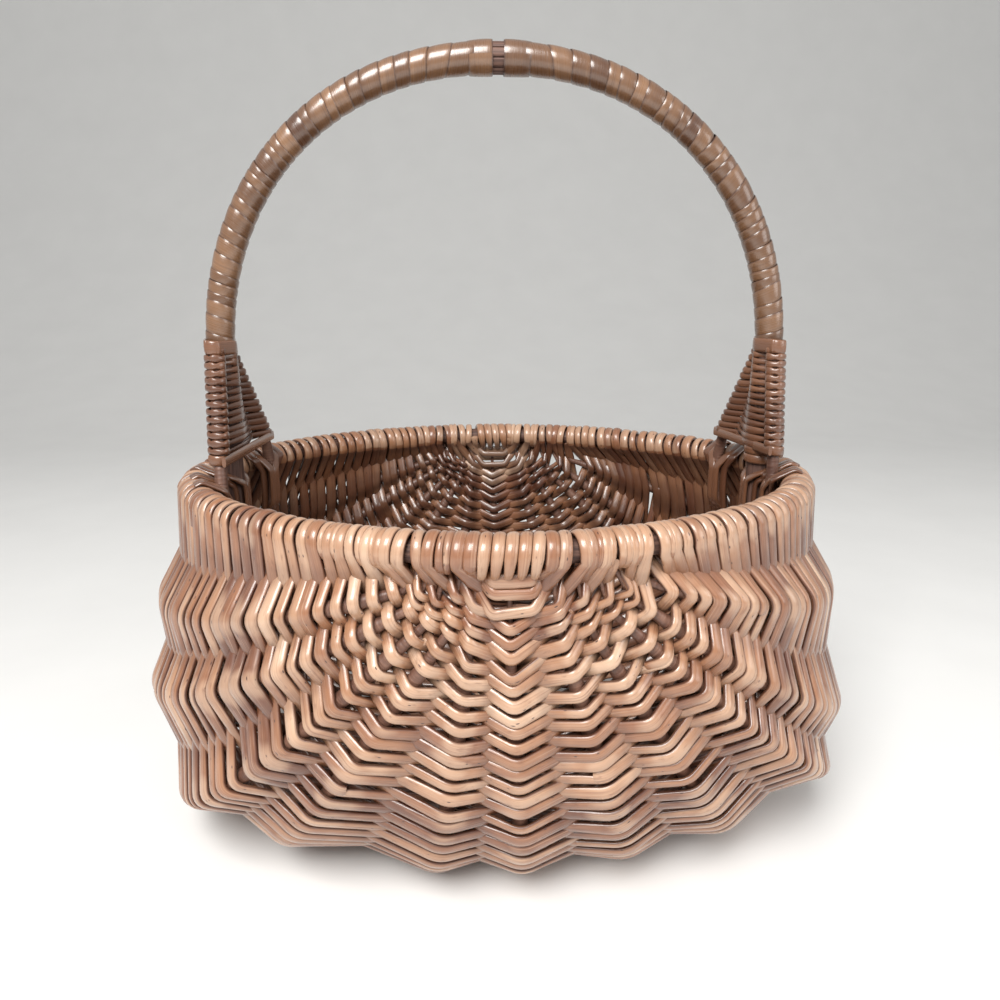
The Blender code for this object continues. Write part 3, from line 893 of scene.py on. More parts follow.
@dataclass(frozen=True)
class FloorFinish(Finish):
    """Pale matt floor with the faintest of mottles."""

    name: str = "pale_floor"
    pale: Triple = (0.80, 0.80, 0.79)
    dimmer: float = 0.97
    mottle_grain: Triple = (9.0, 9.0, 9.0)
    roughness: float = 0.9

    def paint(self, graph: NodeGraph) -> None:
        """Mottles the floor."""
        place = graph.node("ShaderNodeTexCoord").outputs["Object"]
        mottle = graph.noise(place, self.mottle_grain, detail=4.0)
        low = tuple(self.dimmer * value for value in self.pale)
        graph.surface(graph.ramp(mottle, ((0.3, low), (0.7, self.pale))), self.roughness)


@dataclass
class Weave:
    """The weavers between the ribs, one piece for each woven band and each ear.

    Pitches, and the numbers named from, until and over, are shares of the way from the
    front to the back.
    """

    wall: Wall
    # Rows
    ear_pitch: float = 0.0118
    side_pitch: float = 0.0150
    side_from: float = 0.12
    side_over: float = 0.16
    first_row: float = 0.0270
    all_ribs_from: float = 0.125
    row_nudge: float = 0.06
    # Widths and thickness of a rod
    ear_half_wide: float = 0.00305
    side_half_wide: float = 0.00400
    strap_half_wide: float = 0.00300
    valley_half_wide: float = 0.00330
    end_half_wide: float = 0.00350
    half_high: float = 0.00170
    squareness: float = 2.15
    room_share: float = 0.485
    # Rows beside the middle of an ear
    hub_lift: float = 0.0105
    right_hub_lift: float = 1.2
    hub_columns_left: float = 2.0
    hub_columns_right: float = 3.0
    hub_lift_until: float = 0.150
    hub_lift_over: float = 0.085
    hub_lift_first: float = 0.05
    bar_rise: float = 0.0097
    bar_rise_until: float = 0.060
    bar_rise_over: float = 0.030
    bars_until: float = 0.0520
    first_margin: float = -0.004
    margin_gain: float = 0.009
    margin_from: float = 0.055
    margin_over: float = 0.045
    below_hoop: float = 0.018
    # Laps over the rim, single or twin
    lap_clearance: float = 0.0007
    lap_rings: int = 19
    lap_lean: float = 0.08
    lap_lift: float = 0.0003
    lap_ease: float = 0.30
    lap_thinning: float = 0.12
    strap_sizes: Pair = (0.88, 1.08)
    under_rim: float = -0.35
    twin_share: float = 0.28
    twins_until: float = 0.20
    twin_rings: int = 35
    twin_sizes: Pair = (0.95, 1.15)
    twin_half_wide: float = 0.26
    twin_sway: float = 0.125
    # Single rods, from the thick end to the thin one
    rod_lengths: Pair = (1.00, 1.50)
    inside_ends: float = 0.65
    rod_size: float = 1.02
    rod_spread: float = 0.08
    rod_sizes: Pair = (0.90, 1.16)
    thick_end: float = 1.06
    taper: float = 0.20
    first_size: float = 0.80
    first_ease: float = 0.030
    last_size: float = 0.66
    last_ease: float = 0.035
    wide_limits: Pair = (0.55, 1.16)
    high_limits: Pair = (0.60, 1.10)
    join: float = 0.010
    join_aside: float = 0.0015
    join_ease: float = 0.022
    shade_chances: Pair = (1.6, 1.7)
    shade_limits: Pair = (0.02, 0.98)
    # Coils at the middle of the ears
    coil_turns: int = 5
    coil_rings: int = 20
    coil_drop: float = 0.0035
    seed: int = 20261
    chance: np.random.Generator = field(init=False)

    def __post_init__(self) -> None:
        """Seeds the chances."""
        self.chance = np.random.default_rng(self.seed)

    @property
    def lap_radius(self) -> float:
        """Radius of a weaver's middle where it laps over the hoop."""
        return self.wall.sizes.hoop_radius + self.lap_clearance + self.half_high

    def towards_side(self, station: float) -> float:
        """How far a station has come from the fine weave of an ear to the coarser sides."""
        return float(smooth((inside_of(station) - self.side_from) / self.side_over))

    def pitch_at(self, station: float) -> float:
        """Stations from one row to the next but one."""
        return self.ear_pitch + (self.side_pitch - self.ear_pitch) * self.towards_side(station)

    def half_wide_at(self, station: float) -> float:
        """Half the width of a rod where nothing squeezes it."""
        reach = self.side_half_wide - self.ear_half_wide
        return self.ear_half_wide + reach * self.towards_side(station)

    def rib_station(self, column: float, station: float) -> float:
        """Where a row crosses a rib, nearer to the hoop beside the middle of an ear.

        Args:
            column: The rib's column.
            station: The row's station.

        Returns:
            The station at the rib.
        """
        inside = inside_of(station)
        on_right = column > self.wall.centre
        columns = self.hub_columns_right if on_right else self.hub_columns_left
        apart = min(abs(column - self.wall.centre), columns)
        if 0.0 < apart < 1.0:
            nearness = smooth((self.bar_rise_until - inside) / self.bar_rise_over)
            inside -= self.bar_rise * float(nearness)
            return inside if station < 0.5 else 1.0 - inside
        fade = smooth((self.hub_lift_until - inside) / self.hub_lift_over)
        fade = float(fade * smooth(inside / self.hub_lift_first))
        lift = self.hub_lift * apart * fade * (self.right_hub_lift if on_right else 1.0)
        return station - lift if station < 0.5 else station + lift

    def columns_at(self, station: float) -> list[float]:
        """The ribs that a row at a station weaves through.

        Near the middle of an ear a row takes in only those ribs that stand inside the two
        places at which it meets the rim. The first rows cross the centre rib alone, with a
        straight bar between two places beside it.

        Args:
            station: The row's station.

        Returns:
            The columns from left to right. Those of a bar lie half a column off the centre.
        """
        wall = self.wall
        inside = inside_of(station)
        if inside > self.all_ribs_from:
            return list(range(1, wall.last))
        if inside < self.bars_until:
            return [wall.centre - 0.5, wall.centre + 0.5]
        gain = float(smooth((inside - self.margin_from) / self.margin_over))
        margin = self.first_margin + self.margin_gain * gain
        chosen = [wall.centre]
        for rim, step in ((0, -1), (wall.last, 1)):
            reach = abs(wall.place(rim, inside)[0]) + margin
            column = wall.centre + step
            while column != rim:
                crossing = wall.place(column, self.rib_station(column, inside))
                near_hoop = crossing[2] > wall.sizes.rim_height - self.below_hoop
                if abs(crossing[0]) > reach or near_hoop:
                    break
                chosen.append(column)
                column += step
        return sorted(chosen)

    def lap(self, column: int, leaving: "RowEnd", reaching: "RowEnd") -> Strand:
        """The rod where it laps over the rim from one row to the next.

        Args:
            column: The rim's column.
            leaving: The end of the row that it comes from.
            reaching: The end of the row that it goes to.

        Returns:
            The rings between the two ends.
        """
        chance = self.chance
        turn = reaching.angle - leaving.angle
        if leaving.face is reaching.face:
            turn += -FULL_TURN if leaving.face is Face.INSIDE else FULL_TURN
        twin = inside_of(leaving.station) < self.twins_until and chance.uniform() < self.twin_share
        if twin:
            turn += math.copysign(FULL_TURN, turn)
        count = self.twin_rings if twin else self.lap_rings
        parts = np.linspace(0.0, 1.0, count)
        middles = np.empty((count, 3))
        wide = np.empty((count, 3))
        lean = chance.normal(0.0, self.lap_lean)
        lift = abs(chance.normal(0.0, self.lap_lift))
        pitch = self.pitch_at(leaving.station)
        apart = self.twin_sway * pitch if twin else 0.0
        for index, part in enumerate(parts):
            station = leaving.station + (reaching.station - leaving.station) * part
            station -= apart * math.sin(FULL_TURN * part)
            spoke = self.wall.spoke(column, station, leaving.angle + turn * part)
            radius = self.lap_radius + lift * math.sin(math.pi * part)
            middles[index] = self.wall.place(column, station) + radius * spoke
            wide[index] = unit(unit(self.wall.run(column, station)) + lean * spoke)
        pitch *= float(np.linalg.norm(self.wall.run(column, leaving.station)))
        arm = min(self.room_share * pitch, self.half_wide_at(leaving.station))
        if twin:
            full = self.twin_half_wide * pitch * chance.uniform(*self.twin_sizes)
        else:
            full = self.strap_half_wide * chance.uniform(*self.strap_sizes)
            full = min(full, self.room_share * pitch)
        over = smooth(np.minimum(parts, 1.0 - parts) / self.lap_ease)
        # Under the rim a lap is marked half pinched and off its outermost side, so that the willow
        # finish paints shade there; over the top it is marked outermost, which brings on the
        # painted highlight.
        under = np.sin(leaving.angle + turn * parts) < self.under_rim
        mark = np.ones((count, 3))
        mark[:, 0] = np.where(under, 0.5, 0.0)
        mark[:, 1] = np.where(under, 0.3, 1.0)
        half_wide = arm + (full - arm) * over
        half_high = self.half_high * (1.0 - self.lap_thinning * over)
        return Strand(middles, wide, half_wide, half_high, mark)

    def snake(self) -> tuple[Strand, np.ndarray]:
        """The whole run of the weaver, there and back from the front to the back.

        Returns:
            The run's rings, and the station of each of them.
        """
        strands: list[Strand] = []
        stations: list[float] = []
        before: Row | None = None
        station = self.first_row
        leftward = True
        while station < 1.0 - self.first_row:
            pitch = self.pitch_at(station)
            nudge = self.chance.normal(0.0, self.row_nudge) * pitch
            row = Row(self, station + nudge, Face.OUTSIDE if leftward else Face.INSIDE)
            if before is not None:
                if leftward:
                    lap = self.lap(self.wall.last, before.right, row.right)
                else:
                    lap = self.lap(0, before.left, row.left)
                strands.append(lap.part(1, len(lap) - 1))
                stations.append(station)
            strands.append(row.strand.turned() if leftward else row.strand)
            stations.append(station)
            before = row
            station += 0.5 * pitch
            leftward = not leftward
        return Strand.joined(strands), np.repeat(stations, [len(strand) for strand in strands])

    def cuts(self, run: Strand, reach: np.ndarray) -> list[int]:
        """The rings at which one rod ends and the next begins.

        Args:
            run: The whole run.
            reach: Its length up to each ring.

        Returns:
            The rings, with the run's first and last.
        """
        on_wall = run.mark[:, 2] < 0.9
        inside = np.flatnonzero((run.mark[:, 1] < -0.97) & on_wall)
        outside = np.flatnonzero((run.mark[:, 1] > 0.97) & on_wall)
        found = [0]
        while True:
            wanted = reach[found[-1]] + self.chance.uniform(*self.rod_lengths)
            if wanted > reach[-1] - 0.5 * self.rod_lengths[0]:
                break
            near = inside if self.chance.uniform() < self.inside_ends else outside
            found.append(int(near[np.argmin(np.abs(reach[near] - wanted))]))
        return found + [len(run) - 1]

    def rods(self, run: Strand) -> Iterable[tuple[Strand, int]]:
        """Cuts the run into rods whose ends lie side by side.

        Args:
            run: The whole run.

        Yields:
            Each rod with the ring at its middle.
        """
        reach = lengths_along(run.middles)
        cuts = self.cuts(run, reach)
        for first, last in zip(cuts, cuts[1:]):
            low = int(np.searchsorted(reach, reach[first] - self.join)) if first else 0
            high = int(np.searchsorted(reach, reach[last] + self.join)) + 1
            high = min(high, len(run))
            rod = run.part(low, high)
            to_start = reach[low:high] - reach[low]
            to_end = to_start[-1] - to_start
            size = np.clip(self.chance.normal(self.rod_size, self.rod_spread), *self.rod_sizes)
            taper = self.thick_end - self.taper * to_start / to_start[-1]
            first_part = smooth(to_start / self.first_ease)
            last_part = smooth(to_end / self.last_ease)
            scale = size * taper * (self.first_size + (1.0 - self.first_size) * first_part)
            scale = scale * (self.last_size + (1.0 - self.last_size) * last_part)
            rod.half_wide *= np.clip(scale, *self.wide_limits)
            rod.half_high *= np.clip(scale, *self.high_limits)
            aside = self.join_aside * (1.0 - smooth(to_end / self.join_ease))
            aside -= self.join_aside * (1.0 - smooth(to_start / self.join_ease))
            rod.middles += rod.wide * aside[:, None]
            yield rod, (low + high) // 2

    @property
    def band_names(self) -> list[str]:
        """Names of the woven bands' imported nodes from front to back."""
        return [f"woven_band_{index + 1:02d}" for index in range(self.wall.sizes.band_count)]

    def piece_name(self, station: float) -> str:
        """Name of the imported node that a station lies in."""
        ear = self.wall.sizes.ear_share
        if station < ear:
            return "ear_front"
        if station > 1.0 - ear:
            return "ear_back"
        names = self.band_names
        step = (1.0 - 2.0 * ear) / len(names)
        return names[min(int((station - ear) / step), len(names) - 1)]

    def build(self, finish: bpy.types.Material) -> None:
        """Weaves the basket and places its pieces."""
        run, stations = self.snake()
        names = ["ear_front", "ear_back", *self.band_names]
        pieces = {name: Piece(f"weavers_{name}", squareness=self.squareness) for name in names}
        for rod, middle in self.rods(run):
            shade = float(np.clip(self.chance.beta(*self.shade_chances), *self.shade_limits))
            piece = pieces[self.piece_name(float(stations[middle]))]
            piece.add_strand(rod, shade, float(self.chance.uniform()))
        pieces["ear_front"].add_strand(self.ear_coil(back=False), 0.45, 0.3)
        pieces["ear_back"].add_strand(self.ear_coil(back=True), 0.45, 0.3)
        for name, piece in pieces.items():
            place_piece(piece.build(finish), Slot.WILLOW, name)

    def ear_coil(self, back: bool) -> Strand:
        """The rod that binds the hoop at the middle of an ear.

        Args:
            back: Whether it is the back ear.

        Returns:
            The coil's rings.
        """
        reach = self.first_row + 0.10 * self.ear_pitch
        parts = np.linspace(-1.0, 1.0, self.coil_turns * self.coil_rings + 1)
        middles = np.empty((len(parts), 3))
        half_wide = np.empty(len(parts))
        outward = np.array([0.0, 1.0 if back else -1.0, 0.0])
        for index, part in enumerate(parts):
            station = abs(part) * reach
            station = 1.0 - station if back else station
            place = self.wall.place(0 if part < 0.0 else self.wall.last, station)
            angle = math.pi * self.coil_turns * part
            spoke = math.cos(angle) * outward + math.sin(angle) * UP
            under = max(-math.sin(angle), 0.0)
            drop = self.coil_drop * under**2 * max(math.cos(angle + 0.6), 0.0)
            middles[index] = place + self.lap_radius * spoke - drop * UP
            half_wide[index] = self.strap_half_wide * (0.98 - 0.34 * under)
        coil = Strand.plain(middles, (1.0, 0.0, 0.0), half_wide, self.half_high)
        coil.mark[:, 1:] = 1.0
        return coil


@dataclass(frozen=True)
class RowEnd:
    """Where a row meets the rim: its station, its face and its angle round the hoop."""

    station: float
    face: Face
    angle: float


class Row:
    """One pass of the weaver from the left side of the rim to the right."""

    # Chances at each rib
    jitter: float = 0.085
    roll: float = 0.15
    lift: float = 0.00025
    # Bends over the ribs
    clearance: float = 0.0001
    first_reach: float = 0.006
    passes: int = 5
    steepest: float = 0.80
    bend_share: float = 0.95
    room_limits: Pair = (0.13, 0.42)
    highest: float = 1.40
    least_reach: float = 0.0012
    # Rings, as parts of an arm and of a bend
    arm_parts: tuple[float, ...] = (0.16, 0.31, 0.41, 0.5, 0.59, 0.69, 0.84)
    bend_parts: tuple[float, ...] = tuple(np.linspace(0.0, 1.0, 6))
    bend_half: float = 0.14
    # Widths, with necks between the ribs
    least_half_wide: float = 0.0018
    least_neck: float = 0.0014
    neck: float = 0.46
    end_neck: float = 0.58
    neck_over: float = 0.30
    bar_size: float = 0.95
    top_bar_size: float = 1.25
    top_bar_until: float = 0.032

    def __init__(self, weave: Weave, station: float, centre_face: Face) -> None:
        """Lays the row.

        Args:
            weave: The weave that it belongs to.
            station: Its place from front to back.
            centre_face: The face on which it passes the centre rib.
        """
        self.weave = weave
        self.wall = weave.wall
        self.station = station
        columns = weave.columns_at(station)
        self.pitch = weave.pitch_at(station)
        steps = [int(abs(column - self.wall.centre)) for column in columns]
        sides = [centre_face.value * (-1) ** step for step in steps]
        jitter = weave.chance.normal(0.0, self.jitter, len(columns)) * self.pitch
        spots = [(column, weave.rib_station(column, station)) for column in columns]
        moved = [(column, crossing + by) for (column, crossing), by in zip(spots, jitter)]
        self.places = np.array([self.wall.place(*spot) for spot in moved])
        self.normals = np.array([self.wall.normal(*spot) for spot in spots])
        runs = np.array([self.wall.run(*spot) for spot in spots])
        roll = weave.chance.normal(0.0, self.roll, len(columns))
        self.wide = unit(unit(runs) + roll[:, None] * self.normals)
        self.pitches = np.linalg.norm(runs, axis=1) * self.pitch
        self.sides = np.array(sides, float)
        ribs = np.array([self.wall.rib_radius(*spot) for spot in spots])
        lift = np.abs(weave.chance.normal(0.0, self.lift, len(columns)))
        self.clear = ribs + weave.half_high + self.clearance + lift
        goals = self.places + self.first_reach * self.sides[:, None] * self.normals
        self.left = self.row_end(0, goals[0], Face(-sides[0]))
        self.right = self.row_end(self.wall.last, goals[-1], Face(-sides[-1]))
        self.corners, self.reaches = self.bend_corners()
        self.left = self.row_end(0, self.corners[0], self.left.face)
        self.right = self.row_end(self.wall.last, self.corners[-1], self.right.face)
        self.strand = self.lay_strand()

    def row_end(self, column: int, goal: np.ndarray, face: Face) -> RowEnd:
        """The angle at which the row leaves the hoop for its first rib.

        Args:
            column: The rim's column.
            goal: The point that it goes to.
            face: The side of the hoop on which it leaves.

        Returns:
            The end of the row on that side.
        """
        radius = self.weave.lap_radius
        offset = goal - self.wall.place(column, self.station)
        level = float(offset @ self.wall.normal(column, self.station))
        height = float(offset @ UP)
        distance = max(math.hypot(level, height), 1.02 * radius)
        towards = math.atan2(height, level)
        spread = math.acos(radius / distance)
        angle = towards + spread if face is Face.OUTSIDE else towards - spread + FULL_TURN
        return RowEnd(self.station, face, angle)

    def ends(self) -> tuple[np.ndarray, np.ndarray]:
        """The points at which the row leaves the hoop on the left and on the right."""
        wall, radius = self.wall, self.weave.lap_radius
        left, right = (
            wall.place(column, end.station) + radius * wall.spoke(column, end.station, end.angle)
            for column, end in ((0, self.left), (wall.last, self.right))
        )
        return left, right

    def bend_corners(self) -> tuple[np.ndarray, np.ndarray]:
        """Corners of the row's straight arms over the ribs.

        Returns:
            The corners, and how far from each the bend begins.
        """
        heights = self.clear.copy()
        start, end = self.ends()
        outer = self.sides[:, None] * self.normals
        for _ in range(self.passes):
            corners = self.places + heights[:, None] * outer
            chain = np.vstack([start, corners, end])
            before = unit(chain[:-2] - corners)
            after = unit(chain[2:] - corners)
            fall = -0.5 * (np.sum(before * outer, axis=1) + np.sum(after * outer, axis=1))
            slope = np.arcsin(np.clip(fall, 0.0, self.steepest))
            spans = np.linalg.norm(np.diff(chain, axis=0), axis=1)
            room = np.minimum(spans[:-1], spans[1:])
            reaches = self.bend_share * self.clear * np.tan(slope)
            least, most = (share * room for share in self.room_limits)
            reaches = np.minimum(np.maximum(reaches, least), most)
            lowered = 0.5 * reaches * np.sin(slope)
            heights = np.minimum(self.clear + lowered, self.highest * self.clear)
        return corners, np.maximum(reaches, self.least_reach)

    def trace(self) -> tuple[np.ndarray, np.ndarray]:
        """The row's straight arms and sharp bends.

        Returns:
            The middles of the rings, and the place of each, which is a whole number at
            each rib and at both ends.
        """
        start, end = self.ends()
        chain = np.vstack([start, self.corners, end])
        spread = 1.0 - 2.0 * self.bend_half
        middles = [start]
        places = [0.0]
        leave = start
        for index, corner in enumerate(self.corners):
            reach = self.reaches[index]
            enter = corner + unit(chain[index] - corner) * reach
            middles += [leave + (enter - leave) * part for part in self.arm_parts]
            places += [index + self.bend_half + spread * part for part in self.arm_parts]
            leave = corner + unit(chain[index + 2] - corner) * reach
            for part in self.bend_parts:
                bent = (1.0 - part) ** 2 * enter + 2.0 * part * (1.0 - part) * corner
                middles.append(bent + part**2 * leave)
                places.append(index + 1.0 - self.bend_half + 2.0 * self.bend_half * part)
        middles += [leave + (end - leave) * part for part in self.arm_parts] + [end]
        count = len(self.corners)
        places += [count + self.bend_half + spread * part for part in self.arm_parts]
        return np.array(middles), np.array(places + [count + 1.0])

    def lay_strand(self) -> Strand:
        """The rings along the row, with narrow necks where it passes between two ribs."""
        weave, wall = self.weave, self.wall
        middles, places = self.trace()
        last = len(self.corners)
        knots = np.arange(last + 2)
        rim_wide = [unit(wall.run(column, self.station)) for column in (0, wall.last)]
        rim_pitch = float(np.linalg.norm(wall.run(0, self.station))) * self.pitch
        wide_knots = np.vstack([rim_wide[0], self.wide, rim_wide[1]])
        wide = np.stack([np.interp(places, knots, wide_knots[:, a]) for a in range(3)], axis=1)
        pitches = np.interp(places, knots, np.concatenate([[rim_pitch], self.pitches, [rim_pitch]]))
        faces = [[self.left.face.value], self.sides, [self.right.face.value]]
        side_knots = np.concatenate(faces)
        low = np.minimum(np.floor(places).astype(int), last)
        part = places - low
        eased = 0.5 - 0.5 * np.cos(math.pi * part)
        side = side_knots[low] * (1.0 - eased) + side_knots[low + 1] * eased
        pinch = smooth(1.0 - np.abs(part - 0.5) / self.neck_over)
        pinch = pinch * 0.5 * np.abs(side_knots[low + 1] - side_knots[low])
        room = weave.room_share * pitches
        peak = np.clip(room, self.least_half_wide, weave.half_wide_at(self.station))
        if last == 2:
            on_top = inside_of(self.station) < self.top_bar_until
            peak = peak * (self.top_bar_size if on_top else self.bar_size)
        beside_rim = (low == 0) | (low == last)
        neck = np.where(beside_rim, self.end_neck, self.neck)
        widest = np.where(beside_rim, weave.end_half_wide, weave.valley_half_wide)
        valley = np.clip(neck * pitches, self.least_neck, widest)
        half_wide = peak + (valley - peak) * pinch
        half_high = weave.half_high * (1.0 + 0.04 * pinch)
        mark = np.stack([pinch, side, np.zeros_like(places)], axis=1)
        return Strand(middles, wide, half_wide, half_high, mark)


@dataclass
class Frame:
    """The eleven ribs, as bark rods, and the hoop of the rim, as a bare rod."""

    wall: Wall
    rib_end: float = 0.024
    rib_rings: int = 190
    hoop_rings: int = 190
    sides: int = 14
    unevenness: float = 0.018
    seed: int = 77

    def rib_name(self, number: int) -> str:
        """Name of a rib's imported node."""
        if number == 0:
            return "rib_centre"
        return f"rib_{'left' if number < 0 else 'right'}_{abs(number)}"

    def build(self, bark: bpy.types.Material, core: bpy.types.Material) -> None:
        """Makes the ribs and the hoop.

        Args:
            bark: The ribs' finish.
            core: The hoop's finish.
        """
        chance = np.random.default_rng(self.seed)
        stations = np.linspace(self.rib_end, 1.0 - self.rib_end, self.rib_rings)
        for column, number in enumerate(self.wall.sizes.rib_numbers, start=1):
            name = self.rib_name(number)
            middles = np.array([self.wall.place(column, s) for s in stations])
            radii = np.array([self.wall.rib_radius(column, s) for s in stations])
            radii = radii * (1.0 + chance.normal(0.0, self.unevenness, self.rib_rings))
            wide = np.array([self.wall.normal(column, s) for s in stations])
            piece = Piece(f"bark_{name}", sides=self.sides)
            strand = Strand.plain(middles, wide, radii, radii)
            piece.add_strand(strand, float(chance.uniform()), float(chance.uniform()))
            place_piece(piece.build(bark), Slot.RIB, name)
        place_piece(self.hoop().build(core), Slot.CORE, "rim_hoop")

    def hoop(self) -> Piece:
        """The rim's hoop, a closed ring."""
        piece = Piece("bare_rim_hoop", sides=self.sides)
        stations = np.linspace(0.0, 1.0, self.hoop_rings)
        left, right = (
            np.array([self.wall.place(column, s) for s in stations])
            for column in (0, self.wall.last)
        )
        middles = np.vstack([left, right[::-1][1:-1]])
        angles = np.linspace(0.0, FULL_TURN, piece.sides, endpoint=False)
        along = unit(np.roll(middles, -1, axis=0) - np.roll(middles, 1, axis=0))
        level = np.cross(along, UP)
        radius = self.wall.sizes.hoop_radius
        spokes = np.cos(angles)[None, :, None] * level[:, None]
        spokes = spokes + np.sin(angles)[None, :, None] * UP
        rings = middles[:, None] + radius * spokes
        rings = np.concatenate([rings, rings[:1]])
        grain = np.zeros_like(rings)
        grain[..., 0] = np.linspace(0.0, 1.0, len(rings))[:, None]
        grain[..., 1] = radius * np.cos(angles)[None, :]
        grain[..., 2] = radius * np.sin(angles)[None, :]
        piece.add_rings(rings, grain, np.full((*rings.shape[:2], 4), 0.5))
        return piece


@dataclass
class Handle:
    """The bow, its wrapping of flat skein, and the small gap at the top."""

    wall: Wall
    # Bow, above the rim
    bow_top: float = 0.2323
    bow_spring: float = 0.068
    bow_power: float = 2.15
    bow_rings: int = 160
    bow_sides: int = 20
    leg_length: float = 0.045
    # Wrapping, with its section across and above the bow
    wrap_start: float = 0.0740
    top_gap: float = 0.0060
    skein_thickness: float = 0.0007
    skein_clearance: float = 0.0002
    skein_section: tuple[tuple[float, float], ...] = (
        (-0.50, 0.00),
        (-0.47, 0.60),
        (-0.25, 0.90),
        (0.00, 1.00),
        (0.25, 0.95),
        (0.45, 0.75),
        (0.50, 0.35),
        (0.40, 0.00),
        (0.00, 0.00),
        (-0.40, 0.00),
    )
    turn_widths: tuple[float, ...] = (0.0050, 0.0066, 0.0082, 0.0105)
    top_widths: Pair = (0.0095, 0.0145)
    wide_from: float = 0.66
    wide_over: float = 0.25
    turn_steps: int = 40
    turn_shade: Pair = (0.45, 0.17)
    turn_overlap: float = 1.16
    turn_tilt: float = 0.0007
    shingle: float = 0.0005
    last_rise: float = 0.0008
    # Short rods under the gap at the top
    filler_count: int = 9
    filler_rings: int = 14
    filler_reach: float = 1.6
    filler_half_wide: float = 0.0023
    filler_half_high: float = 0.0009
    filler_first: float = 0.15
    seed: int = 4040

    @property
    def bow_radius(self) -> float:
        """The bow's radius."""
        return self.wall.sizes.bow_radius

    @property
    def leg_place(self) -> float:
        """How far a leg's middle stands from the basket's centre in X."""
        return self.wall.sizes.leg_place

    def arch(self) -> Track:
        """The middle of the bow from the foot of its left leg to the foot of its right."""
        angles = eased_angles(math.pi, self.wall.steps)
        power = 2.0 / self.bow_power
        rim = self.wall.sizes.rim_height
        rise = self.bow_top - self.bow_spring
        x = -self.leg_place * signed_power(np.cos(angles), power)
        z = rim + self.bow_spring + rise * np.maximum(np.sin(angles), 0.0) ** power
        arc = np.stack([x, np.zeros_like(x), z], axis=1)
        left = np.array([[-self.leg_place, 0.0, rim - self.leg_length]])
        right = left * np.array([[-1.0, 1.0, 1.0]])
        return Track(np.vstack([left, arc, right]))

    def widths(self, chance: np.random.Generator, length: float) -> list[float]:
        """Uneven widths of the turns, wider near the top.

        Args:
            chance: The chances of this half of the wrapping.
            length: The length along the bow that the turns fill.

        Returns:
            The width of each turn from the foot up.
        """
        found: list[float] = []
        while sum(found) < length:
            near_top = float(smooth((sum(found) / length - self.wide_from) / self.wide_over))
            width = float(chance.choice(self.turn_widths))
            found.append(width + (chance.uniform(*self.top_widths) - width) * near_top)
        return [width * length / sum(found) for width in found]

    def skein(self, side: float, name: str, finish: bpy.types.Material) -> None:
        """Winds the skein on one half of the bow as one strip with uneven turns.

        Args:
            side: -1 on the left and 1 on the right.
            name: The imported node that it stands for.
            finish: Its material.
        """
        chance = np.random.default_rng(self.seed + int(side))
        track = self.arch()
        start = self.leg_length + self.wrap_start
        end = 0.5 * track.length - 0.5 * self.top_gap
        widths = self.widths(chance, end - start)
        places = start + np.concatenate([[0.0], np.cumsum(widths)])
        turns = len(widths)
        tilt = chance.normal(0.0, self.turn_tilt, turns + 1)
        phase = chance.uniform(0.0, FULL_TURN, turns + 1)[0]
        shade = np.clip(chance.normal(*self.turn_shade, turns + 1), 0.05, 0.95)
        count = turns * self.turn_steps + 1
        turn = np.arange(count) / self.turn_steps
        low = np.minimum(turn.astype(int), turns - 1)
        part = turn - low
        own_width = np.interp(turn, np.arange(turns), widths)
        middle = np.interp(turn, np.arange(turns + 1), places) + 0.5 * own_width
        width = own_width * self.turn_overlap
        middle = np.clip(middle, start, end - 0.5 * width)
        rise = self.last_rise * smooth((turn - (turns - 1.0)) / 0.25)
        angle = FULL_TURN * turn * side
        skew = tilt[low] * (1.0 - part) + tilt[low + 1] * part
        skew = skew * (1.0 - smooth(turn - (turns - 2.0)))
        middle = middle + skew * np.sin(angle + phase)
        rings, grain = self.wound(side, angle, middle, width, rise)
        tone = np.zeros((*rings.shape[:2], 4))
        tone[..., 0] = (shade[low] * (1.0 - part) + shade[low + 1] * part)[:, None]
        tone[..., 1] = [abs(across) * 2.0 for across, _ in self.skein_section]
        piece = Piece(f"skein_{name}")
        piece.add_rings(rings, grain, tone)
        place_piece(piece.build(finish), Slot.HANDLE, name)

    def wound(
        self,
        side: float,
        angle: np.ndarray,
        middle: np.ndarray,
        width: np.ndarray,
        rise: np.ndarray,
    ) -> tuple[np.ndarray, np.ndarray]:
        """Winds a strip round the bow.

        Args:
            side: -1 on the left and 1 on the right.
            angle: The angle round the bow at each of the strip's rings.
            middle: How far up the bow the strip's middle is there.
            width: The strip's width there.
            rise: How far it stands off the turn below it.

        Returns:
            The rings, and the place in the wood of each of their corners.
        """
        track = self.arch()
        rings = np.empty((len(angle), len(self.skein_section), 3))
        grain = np.empty_like(rings)
        reach = np.cumsum(np.full(len(angle), FULL_TURN * self.bow_radius / self.turn_steps))
        front = np.array([0.0, -1.0, 0.0])
        for index, (across, height) in enumerate(self.skein_section):
            share = (middle + across * width) / track.length
            place = track.at(share)
            along = unit(track.at(share + 0.002) - track.at(share - 0.002))
            place[:, 0] *= -side
            along[:, 0] *= -side
            spoke = np.cos(angle)[:, None] * front
            spoke = spoke + np.sin(angle)[:, None] * np.cross(along, front)
            radius = self.bow_radius + self.skein_clearance + self.shingle * (across + 0.5)
            radius = (radius + height * self.skein_thickness + rise)[:, None]
            rings[:, index] = place + radius * spoke
            grain[:, index, 0] = reach
            grain[:, index, 1] = across * width
            grain[:, index, 2] = height * 0.001
        return rings, grain

